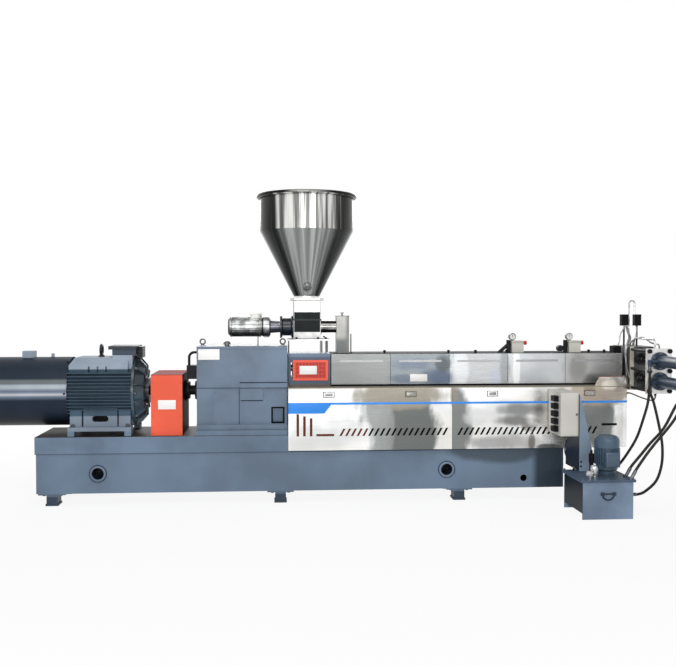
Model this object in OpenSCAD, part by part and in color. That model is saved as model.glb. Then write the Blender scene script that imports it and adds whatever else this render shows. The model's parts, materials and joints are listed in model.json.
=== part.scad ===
// Twin-screw pelletizing extruder with its drive, screw feeder and hopper, hydraulic screen
// changer and hydraulic power unit. Millimetres, +Z up.
// It is laid out with x from the left end of the base, y from the screw plane and z from the
// floor, and then moved so that the origin is the bottom centre of its box.

/* [Base] */
// Distance from the base's right end to the apron's right end
base_tail = 502; // [440:1:560]
// Width of the welded base, front to back
base_w = 560; // [540:5:620]
// Height of the base's underside above the floor
base_lift = 90; // [75:1:120]
// Height of the lower box of the base
box_h = 295; // [260:1:310]
// Height of the bed beam on top of the lower box
bed_h = 127; // [110:1:140]
// Plate thickness of the base
base_wall = 12; // [8:1:20]
// Thickness of the bed's top plate
bed_plate = 30; // [20:1:50]
// How far the bed beam stands out past the lower box
bed_over = 8; // [4:1:16]
// Rise of the gearbox seat above the bed
seat_rise = 40; // [25:1:55]
// Radius of the bore in each lifting tube
lift_bore_r = 44; // [36:1:50]
// Outer radius of each lifting tube
lift_tube_r = 66; // [58:1:76]
// Distance of the first lifting tube from the left end
lift_first = 451; // [380:1:520]
// Distance of the second lifting tube from the left end
lift_second = 3070; // [2950:1:3200]
// How far a lifting tube's collar stands out of the base
lift_proud = 6; // [2:1:12]
// Radius of the drain hole in the front plate
drain_r = 26; // [15:1:34]

/* [Feet] */
// Distance of the first pair of feet from the left end
foot_first = 113; // [100:1:160]
// Distance of the middle pair of feet from the left end
foot_middle = 1805; // [1650:1:1950]
// Distance of the last pair of feet from the left end
foot_last = 3170; // [3000:1:3500]
// Length of a foot's top plate
foot_plate_len = 200; // [150:1:220]
// Depth of a foot, front to back
foot_depth = 130; // [90:1:160]
// Length of a foot's block
foot_block_len = 82; // [60:1:110]
// Thickness of a foot's top plate
foot_plate_t = 10; // [8:1:16]

/* [Main motor] */
// Distance of the finned frame's left end from the base's left end
motor_x = 220; // [200:1:240]
// Length of the finned frame
motor_len = 470; // [455:1:490]
// Height of the shaft above the motor's feet
motor_shaft_h = 280; // [270:1:290]
// Height of the pads under the motor's feet
motor_pad_h = 40; // [25:1:50]
// Radius over the fins
motor_fin_r = 272; // [262:1:276]
// Radius of the frame at the roots of the fins
motor_core_r = 230; // [215:1:238]
// Distance between neighbouring fins
fin_pitch = 25; // [22:1:28]
// Thickness of a fin
fin_t = 8; // [5:1:11]
// Length of the drive-end shield
shield_len = 110; // [100:1:125]
// Length of the fan cowl
cowl_len = 600; // [540:1:640]
// Radius of the fan cowl
cowl_r = 262; // [255:1:270]
// Sheet thickness of the fan cowl
cowl_t = 4; // [3:1:8]
// Radius of the motor's shaft
motor_shaft_r = 37.5; // [32:0.5:42]

/* [Coupling guard] */
// Gap between the motor's end shield and the guard
guard_gap = 38; // [25:1:55]
// Length of the guard along the machine
guard_len = 235; // [215:1:260]
// Width of the guard, front to back
guard_w = 500; // [440:1:530]
// Height of the guard
guard_h = 458; // [430:1:500]
// Sheet thickness of the guard
guard_t = 3; // [2:0.5:6]
// Radius of the coupling's hubs
hub_r = 68; // [56:1:74]

/* [Gearbox] */
// Gap between the guard and the gearbox
gear_gap = 105; // [85:1:120]
// Length of the gearbox
gear_len = 680; // [640:1:720]
// Width of the gearbox, front to back
gear_w = 490; // [460:1:530]
// Thickness of the gearbox's foot flange
gear_foot_t = 40; // [28:1:50]
// Height of the casing's split line above the seat
gear_split_h = 315; // [300:1:325]
// Thickness of the split flange
gear_flange_t = 35; // [26:1:40]
// Height of the upper casing's top above the screw axis
gear_top_h = 165; // [158:1:180]
// Thickness of the gearbox lid
gear_lid_t = 15; // [10:1:22]

/* [Feed housing] */
// Gap between the gearbox and the feed housing
feed_gap = 8; // [5:1:16]
// Length of the feed housing
feed_len = 323; // [312:1:335]
// Width of the feed housing, front to back
feed_w = 340; // [320:1:360]
// Height of the feed housing above the screw axis
feed_top_h = 120; // [112:1:124]
// Height of the feed housing's underside below the screw axis
feed_low_h = 131; // [120:1:136]
// Wall of the feed housing
feed_wall = 20; // [12:1:30]
// Length of the red grille
grille_len = 268; // [256:1:276]
// Height of the red grille
grille_h = 155; // [140:1:170]
// Height of the screw axis above the floor
axis_z = 1000; // [985:1:1010]

/* [Hopper and feeder] */
// Height of the feeder screw above the main screw axis
feeder_up = 323; // [315:1:330]
// Diameter of the hopper
hopper_d = 722; // [680:1:760]
// Height of the hopper's straight part
hopper_h = 284; // [250:1:310]
// Height of the hopper's cone
cone_h = 505; // [480:1:530]
// Diameter of the hopper's outlet
outlet_d = 200; // [180:1:204]
// Sheet thickness of the hopper
hopper_t = 3; // [2:0.5:6]
// Radius of the rolled rim
rim_r = 16; // [10:1:20]
// Length of the feeder's body along the machine
trough_len = 208; // [206:1:225]
// Width of the feeder's body, front to back
trough_w = 230; // [214:1:260]
// Height of the sheet neck between feeder and hopper
neck_h = 88; // [70:1:110]
// Radius of the feeder's tube
tube_r = 47; // [38:1:52]
// Length of the feeder's tube
tube_len = 126; // [110:1:132]
// Width of the drop chute along the machine
chute_len = 98; // [92:1:106]
// Depth of the drop chute, front to back
chute_w = 130; // [110:1:150]
// Height of the drop chute's top above the feeder screw
chute_up = 83; // [75:1:100]
// Sheet thickness of the drop chute
chute_t = 3; // [2:0.5:6]
// Radius of the feeder's drive motor
drive_r = 72; // [64:1:76]
// Length of the feeder's drive motor
drive_len = 328; // [310:1:345]

/* [Barrel and covers] */
// Length of the row of upper covers
cover_run = 2290; // [2260:1:2320]
// Number of upper covers
cover_count = 5; // [4:1:6]
// Width of the upper covers, front to back
cover_w = 340; // [330:1:360]
// Height of the covers' top above the screw axis
cover_top_h = 118; // [114:1:126]
// Height of the covers' lower edge below the screw axis
cover_low_h = 118; // [112:1:122]
// Sheet thickness of covers and apron
sheet_t = 3; // [2:0.5:5]
// Gap between neighbouring covers
cover_gap = 3; // [2:0.5:6]
// Length of the handle bar on each cover
cover_bar_len = 330; // [260:1:350]
// Height of the black seal strip under the covers
seal_h = 14; // [10:1:18]
// Half size of the barrel's square section
barrel_half = 95; // [88:1:98]

/* [Apron panels] */
// Height of the apron's lower edge above the base's split line
apron_up = 12; // [8:1:30]
// Gap between the bed's front face and the apron sheet
apron_gap = 22; // [15:1:40]
// Length of the first apron panel
apron_first = 1244; // [1220:1:1280]
// Rise of the apron's top edge at its right end
apron_rise = 74; // [60:1:90]
// Length of the raised part of the apron
apron_rise_len = 232; // [200:1:260]
// Width of the bent strip at the apron's right end
strip_w = 75; // [64:1:90]
// Radius of the bend in that strip
strip_r = 45; // [30:1:56]
// Distance between neighbouring slanted slots
slot_pitch = 43.5; // [40:0.5:48]
// Width of the cut slots
slot_w = 13; // [9:1:16]
// Height of the slanted slots
slot_h = 52; // [40:1:60]

/* [Screen changer] */
// Gap between the upper covers and the changer's block
changer_gap = 28; // [22:1:44]
// Length of the changer's block along the machine
changer_len = 190; // [180:1:215]
// Reach of the changer's block in front of the screw plane
changer_front = 240; // [220:1:255]
// Reach of the changer's block behind the screw plane
changer_rear = 112; // [100:1:150]
// Height of the changer's block
changer_h = 336; // [320:1:356]
// Distance between the two pistons
piston_pitch = 150; // [146:1:158]
// Radius of a piston
piston_r = 48; // [44:1:50]
// Running gap around a piston and its rod
run_gap = 0.4; // [0.3:0.1:1]
// Radius of a piston's rod
rod_r = 22; // [18:1:26]
// Free length between the block and the cylinder plate
tie_len = 300; // [280:1:330]
// Thickness of the cylinder plate
plate_t = 26; // [20:1:34]
// Radius of a tie rod
tie_r = 11; // [8:1:14]
// Radius of a cylinder's tube
cyl_r = 43; // [39:1:46]
// Radius of a cylinder's flange
cyl_flange_r = 67; // [60:1:72]
// Length of a cylinder in front of its plate
cyl_len = 400; // [380:1:430]
// Radius of the melt outlet
outlet_r = 19; // [14:1:20]
// Circle of the outlet's bolt holes
outlet_pcd = 130; // [116:1:150]
// Radius of an outlet bolt hole
outlet_hole_r = 7; // [5:0.5:9]

/* [Hydraulic unit] */
// Length of the oil tank along the machine
tank_len = 360; // [340:1:380]
// Width of the oil tank, front to back
tank_w = 400; // [380:1:430]
// Height of the oil tank without its lid
tank_h = 259; // [240:1:275]
// Thickness of the tank's lid
tank_lid_t = 18; // [12:1:24]
// How far the lid stands out past the tank
tank_lid_over = 14; // [8:1:18]
// Distance from the tank's left side to the changer's block
tank_back = 625; // [600:1:660]
// Distance from the apron to the tank
tank_off = 272; // [250:1:300]
// Height of the gap under the tank
tank_gap = 42; // [30:1:60]
// Radius of the pump motor
pump_r = 92; // [82:1:98]
// Height of the pump motor
pump_h = 275; // [255:1:300]
// Length of the junction box along the machine
jbox_len = 134; // [125:1:140]
// Depth of the junction box, front to back
jbox_w = 290; // [270:1:305]
// Height of the junction box
jbox_h = 318; // [300:1:335]
// Height of the junction box above the floor
jbox_up = 530; // [510:1:560]
// Gap between the apron and the junction box
jbox_gap = 20; // [12:1:40]
// How far the junction box stands in front of the tank's left side
jbox_lap = 92; // [80:1:100]
// Width of the post's front flange
post_w = 94; // [80:1:110]
// Radius of the hydraulic hoses
hose_r = 10; // [8:1:12]

/* [Hidden] */
$fn = 64;
paint = [0.42, 0.49, 0.57];
slate = [0.16, 0.2, 0.26];
red = [0.92, 0.38, 0.28];
steel = [0.78, 0.78, 0.77];
dark = [0.1, 0.1, 0.11];
beige = [0.8, 0.79, 0.75];

// Heights of the base
split_z = base_lift + box_h;
bed_z = split_z + bed_h;
seat_z = bed_z + seat_rise;
motor_z = bed_z + motor_pad_h + motor_shaft_h;
lift_z = base_lift + box_h / 2;
base_half = base_w / 2;
bed_half = base_half + bed_over;
bed_wall = base_wall + bed_over + 5;
feet_x = [foot_first, foot_middle, foot_last];
lifts_x = [lift_first, lift_second];
bays = 6;
drain_z = base_lift + 0.25 * box_h;
foot_pad_t = 14;
foot_pad_over = 6;
foot_side = 8;

// Places along the machine
motor_end = motor_x + motor_len;
shield_end = motor_end + shield_len;
cowl_x = motor_x - cowl_len;
guard_x = shield_end + guard_gap;
guard_end = guard_x + guard_len;
gear_x = guard_end + gear_gap;
gear_end = gear_x + gear_len;
feed_x = gear_end + feed_gap;
feed_end = feed_x + feed_len;
cover_gap_left = 7;
cover_x = feed_end + cover_gap_left;
cover_end = cover_x + cover_run;
changer_x = cover_end + changer_gap;
changer_end = changer_x + changer_len;
barrel_end = cover_end - 25;

// Motor
foot_half = 275;
foot_in = 185;
foot_x0 = motor_x + 9;
foot_x1 = motor_x + motor_len + 4;
foot_bar_t = 30;
foot_z = motor_z - motor_shaft_h;
foot_top = foot_z + foot_bar_t;
foot_post = 48;
foot_web_t = 45;
foot_web_in = 0.23 * motor_len;
foot_gusset = 86;
slot_len = 120;
slot_half = 22;
fin_rows = 6;
saddle_half = 205;
saddle_low = 150;
saddle_mid = 205;
saddle_top = 262;
saddle_in = 150;
saddle_x0 = motor_x + 6;
saddle_x1 = motor_end - 28;
notch_w = 14;
notch_pitch = 64;
notch_x = saddle_x0 + 142;
term_x0 = motor_end - 156;
term_x1 = motor_end + 22;
term_lid_over = 28;
term_base_half = 165;
term_z0 = motor_z + saddle_top + 18;
term_h = 42;
term_z1 = term_z0 + term_h;
term_lid_t = 26;
term_half = 128;
cable_box_len = 42;
cable_box_half = 70;
shield_flange_r = motor_fin_r - 8;
shield_flange_t = 20;
shield_nose_r = 190;
cap_r = 98;
cap_len = 26;
rib_t = 10;
fan_box_x = motor_x - 374;
fan_box_len = 83;
lug_x = motor_x - 166;

// Gearbox
gear_half = gear_w / 2;
gear_body_z = seat_z + gear_foot_t;
gear_split_z = seat_z + gear_split_h;
gear_top_z = axis_z + gear_top_h;
gear_lid_z = gear_top_z + gear_lid_t;
gear_step = gear_x + 0.47 * gear_len;
seat_lead = 11;
input_r = 72;
input_t = 30;
gear_foot_over = 24;
plate_proud = 8;
pump_y0 = -150;
pump_y1 = -20;
pump_low = motor_z + 96;
pump_top = motor_z + 200;
pump_len = 84;
pipe_r = 10;
pipe_bend = 40;
pipe_x = gear_x - 30;
pipe_y = (pump_y0 + pump_y1) / 2;
pipe_z = gear_top_z - 36;
output_r = 115;
eye_in = 27;
eye_ring = 36;
breather_r = 30;
breather_x = gear_x + 0.325 * gear_len;

// Feed housing
feed_half = feed_w / 2;
feed_z0 = axis_z - feed_low_h;
feed_z1 = axis_z + feed_top_h;
grille_x0 = feed_x + (feed_len - grille_len) / 2 + 8;
grille_z0 = axis_z - 0.548 * grille_h;
grille_t = 6;
shaft_pitch = 52;
shaft_r = 24;

// Feeder
feeder_z = axis_z + feeder_up;
hopper_x = feed_x + 147;
trough_x0 = hopper_x - trough_len / 2;
trough_x1 = hopper_x + trough_len / 2;
trough_half = trough_w / 2;
stand_z = feeder_z - 104;
stand_t = 14;
trough_z0 = stand_z + stand_t;
trough_z1 = feeder_z + 114;
neck_z1 = trough_z1 + neck_h;
flange_t = 20;
flange_half = trough_len / 2 + 22;
cone_z0 = neck_z1 + flange_t;
spigot_h = 14;
cone_z1 = cone_z0 + spigot_h + cone_h;
hopper_top = cone_z1 + hopper_h;
chute_x0 = trough_x1 + tube_len;
chute_x1 = chute_x0 + chute_len;
chute_z0 = axis_z + barrel_half;
chute_z1 = feeder_z + chute_up;
lantern_len = 104;
lantern_r = 88;
port_r = 18;
port_len = 16;
cone_tilt = atan2(hopper_d / 2 - outlet_d / 2, cone_h);
port_z = cone_z0 + spigot_h + 0.15 * cone_h;
port_y = outlet_d / 2 + 0.15 * (hopper_d - outlet_d) / 2;
drive_neck = 74;
lantern_x0 = trough_x0 - lantern_len;
drive_x1 = lantern_x0 - drive_neck;
drive_x0 = drive_x1 - drive_len;

// Covers and apron
cover_half = cover_w / 2;
cover_z0 = axis_z - cover_low_h;
cover_z1 = axis_z + cover_top_h;
cover_pitch = cover_run / cover_count;
ledge_z = cover_z0 - seal_h;
apron_x = gear_end + 6;
apron_end = cover_end - 4;
base_len = apron_end - base_tail;
bay = (base_len - base_wall) / bays;
drain_x = 0.922 * base_len;
strip_x = apron_end - strip_w;
apron_z0 = split_z + apron_up;
apron_y = bed_half + apron_gap;
apron_split = apron_x + apron_first;
ledge_in = cover_half - 22;
latch_w = 84;
latch_h = 44;
latch_t = 8;

// Screen changer
changer_z0 = axis_z - changer_h / 2;
changer_z1 = axis_z + changer_h / 2;
changer_mid = (changer_x + changer_end) / 2;
plate_y1 = -changer_front - tie_len;
plate_y0 = plate_y1 - plate_t;
pistons_z = [axis_z + piston_pitch / 2, axis_z - piston_pitch / 2];
cyl_end_y = plate_y0 - cyl_len;
cyl_flange_t = 22;
cyl_cap_t = 44;
cyl_cap_r = cyl_r + 7;
cyl_bore_r = cyl_r - 10;
piston_proud = 40;
coupler_len = 46;
stroke = 180;
port_boss_r = 12;
banjo_r = 14;
banjo_drop = 34;
rod_port_x = changer_mid - 109;
low_port_x = changer_mid - 93;
rod_port_y = plate_y0 - 84;
low_port_y = plate_y0 - 54;
cap_port_x = changer_mid + 81;
cap_port_y = cyl_end_y + 61;
low_cap_y = cyl_end_y + 21;
low_cap_z = axis_z - piston_pitch / 2 - cyl_r - 36;
sensor_w = 52;
sensor_d = 50;
sensor_h = 90;
sensor_up = 160;
sensor_ax = changer_x + 28;
sensor_bx = changer_x + 133;
sensor_y = -50;
lead_r = 6;
lead_bend = 22.5;
lead_x = sensor_bx - 64;
lead_top = changer_z1 + 336;
grease_r = 7;
grease_bend = 26;
grease_x = changer_x + 64;
grease_y = -changer_front + 70;
grease_z = changer_z1 + 66;
tie_dx = changer_len / 2 - 18;
tie_dz = changer_h / 2 - 20;
nut_t = 16;
stud_t = 10;

// Hydraulic unit
tank_x = changer_x - tank_back;
tank_y1 = -apron_y - tank_off;
tank_y0 = tank_y1 - tank_w;
tank_x1 = tank_x + tank_len;
lid_z = tank_h + tank_lid_t;
tank_mid = (tank_x + tank_x1) / 2;
bail_r = 42;
bail_t = 5;
bail_z = 0.69 * tank_h;
pump_x = tank_x1 - pump_r - 4;
pump_y = tank_y1 - 0.37 * tank_w;
jbox_x1 = tank_x + jbox_lap;
jbox_x0 = jbox_x1 - jbox_len;
jbox_y1 = -apron_y - jbox_gap;
jbox_y0 = jbox_y1 - jbox_w;
jbox_z0 = jbox_up;
post_t = 6;
post_y0 = jbox_y0 - 14;
post_top = jbox_z0 + jbox_h - 12;
union_r = 12;
union_x = tank_x1 - 13;
union_len = 30;
union_ys = [tank_y1 - 29, tank_y1 - 298, tank_y1 - 394];
union_tilts = [60, 30, 30];
side_union_len = 37;
side_union_y = tank_y1 - 278;
side_union_z = 0.57 * tank_h;
function union_low(i) = [union_x, union_ys[i], lid_z + union_r * sin(union_tilts[i]) + 0.5];
function union_end(i) = union_low(i) + union_len * [sin(union_tilts[i]), 0, cos(union_tilts[i])];

// Hose routes: hand-laid points between a port and a union. The ends sit on the fittings and the
// points between drift with them when a size changes.
function share(i, n) = i < 2 ? 0 : i > n - 3 ? 1 : (i - 1) / (n - 3);
function laid(route, from, to) = let (n = len(route)) [
    for (i = [0 : n - 1])
        route[i] + (1 - share(i, n)) * (from - route[0]) + share(i, n) * (to - route[n - 1])
];
function between(a, b, c, d, t) = 0.5 * (2 * b + (c - a) * t + (2 * a - 5 * b + 4 * c - d) * t * t
    + (3 * b - a - 3 * c + d) * t * t * t);
function smooth(pts, steps) = let (n = len(pts)) concat([
    for (i = [0 : n - 2])
        for (k = [0 : steps - 1])
            between(i == 0 ? 2 * pts[0] - pts[1] : pts[i - 1], pts[i], pts[i + 1],
                i == n - 2 ? 2 * pts[n - 1] - pts[n - 2] : pts[i + 2], k / steps)
], [pts[n - 1]]);
hose_steps = 2;
hose_sides = 10;
upper_rod_route = laid(
    [[4500, -650, 1041], [4500, -650, 1000], [4496, -655, 890], [4486, -656, 780], [4456, -654, 667],
        [4412, -645, 527], [4358, -632, 422], [4297, -611, 323], [4262, -611, 303]],
    [rod_port_x, rod_port_y, pistons_z[0] - banjo_drop], union_end(0));
lower_rod_route = laid(
    [[4516, -620, 891], [4516, -620, 850], [4540, -634, 770], [4573, -660, 590], [4580, -695, 460],
        [4554, -745, 336], [4489, -805, 231], [4390, -848, 165], [4330, -860, 147], [4286, -860, 147]],
    [low_port_x, low_port_y, pistons_z[1] - banjo_drop],
    [tank_x1 + side_union_len, side_union_y, side_union_z]);
upper_cap_route = laid(
    [[4690, -905, 1041], [4690, -905, 1000], [4680, -905, 920], [4640, -905, 850], [4583, -905, 781],
        [4499, -901, 623], [4407, -894, 518], [4345, -888, 440], [4275, -880, 352], [4251, -880, 310]],
    [cap_port_x, cap_port_y, pistons_z[0] - banjo_drop], union_end(1));
lower_cap_route = laid(
    [[4609, -945, 846], [4609, -945, 805], [4566, -946, 707], [4496, -955, 619], [4416, -966, 534],
        [4350, -972, 456], [4275, -976, 352], [4251, -976, 310]],
    [changer_mid, low_cap_y, low_cap_z], union_end(2));

// Cables: from the junction box into the tank lid, and from the end sheet to the cylinder plate
cable_r = 5;
gland_r = 9;
gland_len = 15;
box_gland = [jbox_x0 + 64, jbox_y0 + 60, jbox_z0 - gland_len];
lid_gland = [tank_x + 61, tank_y1 - 30, lid_z + gland_len];
sheet_gland = [apron_end + gland_len, -changer_front, ledge_z - 60];
plate_gland = [changer_mid - 24, (plate_y0 + plate_y1) / 2, changer_z0 - gland_len];
box_cable_route = laid(
    [[3911, -560, 515], [3911, -560, 495], [3902, -563, 462], [3895, -572, 425], [3898, -584, 388],
        [3917, -597, 352], [3938, -608, 324], [3950, -612, 304], [3950, -612, 292]],
    box_gland, lid_gland);
heater_cable_route = laid(
    [[4497, -240, 808], [4514, -240, 808], [4540, -259, 799], [4560, -305, 787], [4573, -365, 779],
        [4581, -430, 775], [4585, -490, 775], [4585, -527, 781], [4585, -547, 796], [4585, -553, 809],
        [4585, -553, 817]],
    sheet_gland, plate_gland);

// Move from machine coordinates to the row's frame
box_x0 = cowl_x;
box_x1 = changer_end;
box_y0 = min(cyl_end_y, tank_y0 - tank_lid_over);
box_y1 = max(apron_y + latch_t, hopper_d / 2 + 2 * rim_r - hopper_t);
mid_x = (box_x0 + box_x1) / 2;
mid_y = (box_y0 + box_y1) / 2;

module place() {
    translate([-mid_x, -mid_y, 0])
        children();
}

module slab(low, high) {
    translate(low)
        cube(high - low);
}

module xrod(r, x0, x1, y, z) {
    translate([x0, y, z])
        rotate([0, 90, 0])
            cylinder(r = r, h = x1 - x0);
}

module yrod(r, y0, y1, x, z) {
    translate([x, y0, z])
        rotate([-90, 0, 0])
            cylinder(r = r, h = y1 - y0);
}

module zrod(r, z0, z1, x, y) {
    translate([x, y, z0])
        cylinder(r = r, h = z1 - z0);
}

// Turned about the x direction: the profile's first coordinate is the radius and its second the
// distance along x
module turned_x(x, y, z) {
    translate([x, y, z])
        rotate([0, 90, 0])
            rotate_extrude()
                children();
}

// Extruded along x: the profile's first coordinate is y and its second z
module along_x(x0, x1) {
    translate([x0, 0, 0])
        rotate([90, 0, 90])
            linear_extrude(height = x1 - x0)
                children();
}

// Extruded along y: the profile's first coordinate is x and its second z
module along_y(y0, y1) {
    translate([0, y1, 0])
        rotate([90, 0, 0])
            linear_extrude(height = y1 - y0)
                children();
}

// Lifting eye: a collar, a stem and a ring, which stands along x or is turned about its stem
module eyebolt(x, y, z, ring, turn = 0) {
    zrod(0.65 * ring, z, z + 0.3 * ring, x, y);
    zrod(0.4 * ring, z, z + 0.5 * ring, x, y);
    translate([x, y, z + 1.45 * ring])
        rotate([90, 0, turn])
            rotate_extrude()
                translate([ring, 0])
                    circle(r = 0.3 * ring);
}

// Round bend in the x and z directions, from the top of its circle to its left side
module bend_xz(r, bend, x, y, z) {
    translate([x, y, z])
        rotate([90, 0, 0])
            rotate([0, 0, 90])
                rotate_extrude(angle = 90)
                    translate([bend, 0])
                        circle(r = r);
}

function unit(v) = v / norm(v);
function aims(route, pts) = let (m = len(route), n = len(pts)) [
    for (i = [0 : n - 1])
        i == 0 ? unit(route[1] - route[0])
            : i == n - 1 ? unit(route[m - 1] - route[m - 2]) : unit(pts[i + 1] - pts[i - 1])
];
function carried(v, t) = unit(v - (v * t) * t);
function sides(ts, i, v) = i == len(ts) ? [] : let (u = carried(v, ts[i])) concat([u], sides(ts, i + 1, u));

// Tube swept along a route
module hose(route, radius = hose_r) {
    pts = smooth(route, hose_steps);
    n = len(pts);
    ts = aims(route, pts);
    us = sides(ts, 0, [0.02, 1, 0.03]);
    rings = [
        for (i = [0 : n - 1])
            for (k = [0 : hose_sides - 1])
                let (a = 360 * k / hose_sides, w = cross(ts[i], us[i]))
                    pts[i] + radius * (cos(a) * us[i] + sin(a) * w)
    ];
    walls = [
        for (i = [0 : n - 2])
            for (k = [0 : hose_sides - 1])
                for (m = [0, 1])
                    let (a = i * hose_sides + k, b = i * hose_sides + (k + 1) % hose_sides)
                        m == 0 ? [a, a + hose_sides, b + hose_sides] : [a, b + hose_sides, b]
    ];
    first = [for (k = [0 : hose_sides - 1]) k];
    last = [for (k = [hose_sides - 1 : -1 : 0]) (n - 1) * hose_sides + k];
    polyhedron(points = rings, faces = concat(walls, [first], [last]));
}

module both_sides() {
    children();
    mirror([0, 1, 0])
        children();
}

// Welded lower box of the base, open at its top under the bed, with cross plates and lifting tubes
module base_box() {
    color(paint)
        difference() {
            union() {
                difference() {
                    slab([0, -base_half, base_lift], [base_len, base_half, split_z]);
                    for (i = [0 : bays - 1])
                        slab([base_wall + i * bay, -base_half + base_wall, base_lift + base_wall],
                            [(i + 1) * bay, base_half - base_wall, split_z + 1]);
                }
                for (x = lifts_x)
                    yrod(lift_tube_r, -base_half - lift_proud, base_half + lift_proud, x, lift_z);
            }
            for (x = lifts_x)
                yrod(lift_bore_r, -base_half - lift_proud - 1, base_half + lift_proud + 1, x, lift_z);
            yrod(drain_r, -base_half - 1, -base_half + base_wall + 1, drain_x, drain_z);
        }
}

// Bed beam with the motor's pads and the gearbox seat
module bed_beam() {
    color(paint) {
        difference() {
            slab([-bed_over, -bed_half, split_z], [base_len, bed_half, bed_z]);
            slab([bed_wall, -bed_half + bed_wall, split_z - 1],
                [base_len - bed_wall, bed_half - bed_wall, bed_z - bed_plate]);
        }
        slab([gear_x - seat_lead, -bed_half, bed_z], [gear_end, bed_half, seat_z]);
        both_sides() {
            slab([foot_x0, foot_in, bed_z], [foot_x0 + foot_post, foot_half, foot_z]);
            slab([foot_x1 - foot_post, foot_in, bed_z], [foot_x1, foot_half, foot_z]);
        }
    }
}

// Six levelling feet
module levelling_feet() {
    color(paint)
        both_sides()
            for (x = feet_x) {
                slab([x - foot_plate_len / 2, base_half - foot_depth, base_lift - foot_plate_t],
                    [x + foot_plate_len / 2, base_half, base_lift]);
                slab([x - foot_block_len / 2, base_half - foot_depth + foot_side, foot_pad_t],
                    [x + foot_block_len / 2, base_half - foot_side, base_lift - foot_plate_t]);
                slab([x - foot_block_len / 2 - foot_pad_over, base_half - foot_depth + 2, 0],
                    [x + foot_block_len / 2 + foot_pad_over, base_half - 2, foot_pad_t]);
            }
}

// Finned motor frame with its saddle and feet
module motor_frame() {
    color(slate) {
        xrod(motor_core_r, motor_x, motor_end, 0, motor_z);
        intersection() {
            xrod(motor_fin_r, motor_x, motor_end, 0, motor_z);
            union() {
                for (i = [-fin_rows : fin_rows])
                    slab([motor_x, -motor_fin_r - 1, motor_z + i * fin_pitch - fin_t / 2],
                        [motor_end, motor_fin_r + 1, motor_z + i * fin_pitch + fin_t / 2]);
                for (i = [-fin_rows + 1 : fin_rows - 1])
                    slab([motor_x, i * fin_pitch - fin_t / 2, motor_z - motor_fin_r - 1],
                        [motor_end, i * fin_pitch + fin_t / 2, motor_z]);
            }
        }
        difference() {
            union() {
                along_x(saddle_x0, saddle_x1)
                    translate([0, motor_z])
                        polygon([[-saddle_half, saddle_low], [saddle_half, saddle_low],
                            [saddle_half, saddle_mid], [saddle_in, saddle_top],
                            [-saddle_in, saddle_top], [-saddle_half, saddle_mid]]);
                slab([term_x0 + 8, -term_base_half, motor_z + saddle_low],
                    [motor_end, term_base_half, term_z0]);
            }
            both_sides()
                for (k = [0 : 2])
                    slab([notch_x + k * notch_pitch, saddle_half - 22, motor_z + saddle_low - 1],
                        [notch_x + notch_w + k * notch_pitch, saddle_half + 1, motor_z + saddle_mid - 6]);
            along_y(-saddle_half - 1, saddle_half + 1)
                polygon([[saddle_x0 - 1, motor_z + saddle_mid], [saddle_x0 + 34, motor_z + saddle_top + 1],
                    [saddle_x0 - 1, motor_z + saddle_top + 1]]);
        }
        both_sides() {
            slab([foot_x0, foot_in, foot_z], [foot_x1, foot_half, foot_top]);
            difference() {
                slab([foot_x0 + foot_web_in, foot_in, foot_top],
                    [foot_x1 - foot_web_in, foot_in + foot_web_t, motor_z - 0.48 * motor_core_r]);
                along_y(foot_in - 1, foot_in + foot_web_t + 1)
                    translate([(foot_x0 + foot_x1) / 2, foot_top + 58]) {
                        square([slot_len - 2 * slot_half, 2 * slot_half], center = true);
                        for (m = [-1, 1])
                            translate([m * (slot_len / 2 - slot_half), 0])
                                circle(r = slot_half);
                    }
            }
            for (x = [foot_x0 + 10, foot_x1 - 10 - foot_gusset])
                slab([x, foot_in, foot_top],
                    [x + foot_gusset, foot_in + foot_web_t + 5, motor_z - 0.52 * motor_core_r]);
        }
    }
}

// Drive-end shield with ribs and bearing cap
module motor_end_shield() {
    color(slate) {
        turned_x(motor_end, 0, motor_z)
            polygon([[motor_shaft_r + run_gap, 0], [shield_flange_r, 0], [shield_flange_r, shield_flange_t],
                [motor_core_r - 10, shield_flange_t], [shield_nose_r, shield_len - cap_len],
                [cap_r, shield_len - cap_len], [cap_r, shield_len], [motor_shaft_r + run_gap, shield_len]]);
        for (a = [15 : 30 : 345])
            translate([motor_end, 0, motor_z])
                rotate([a, 0, 0])
                    translate([0, rib_t / 2, 0])
                        rotate([90, 0, 0])
                            linear_extrude(height = rib_t)
                                polygon([[shield_flange_t - 1, cap_r + 22],
                                    [shield_flange_t - 1, shield_flange_r - 8],
                                    [shield_flange_t + 22, shield_flange_r - 8],
                                    [shield_len - cap_len + 8, shield_nose_r + 8],
                                    [shield_len - cap_len + 8, cap_r + 22]]);
    }
}

// Sheet cowl of the forced fan with a grid of holes in its end
module fan_cowl() {
    color(slate) {
        difference() {
            turned_x(cowl_x, 0, motor_z)
                polygon([[0, 0], [cowl_r - 14, 0], [cowl_r, 14], [cowl_r, cowl_len],
                    [cowl_r - cowl_t, cowl_len], [cowl_r - cowl_t, 14 + cowl_t],
                    [cowl_r - 14 - cowl_t, cowl_t], [0, cowl_t]]);
            for (ring = [[75, 8], [125, 14], [175, 20]])
                for (k = [0 : ring[1] - 1])
                    translate([0, 0, motor_z])
                        rotate([360 * k / ring[1], 0, 0])
                            xrod(17, cowl_x - 1, cowl_x + cowl_t + 1, 0, ring[0]);
        }
    }
}

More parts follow.
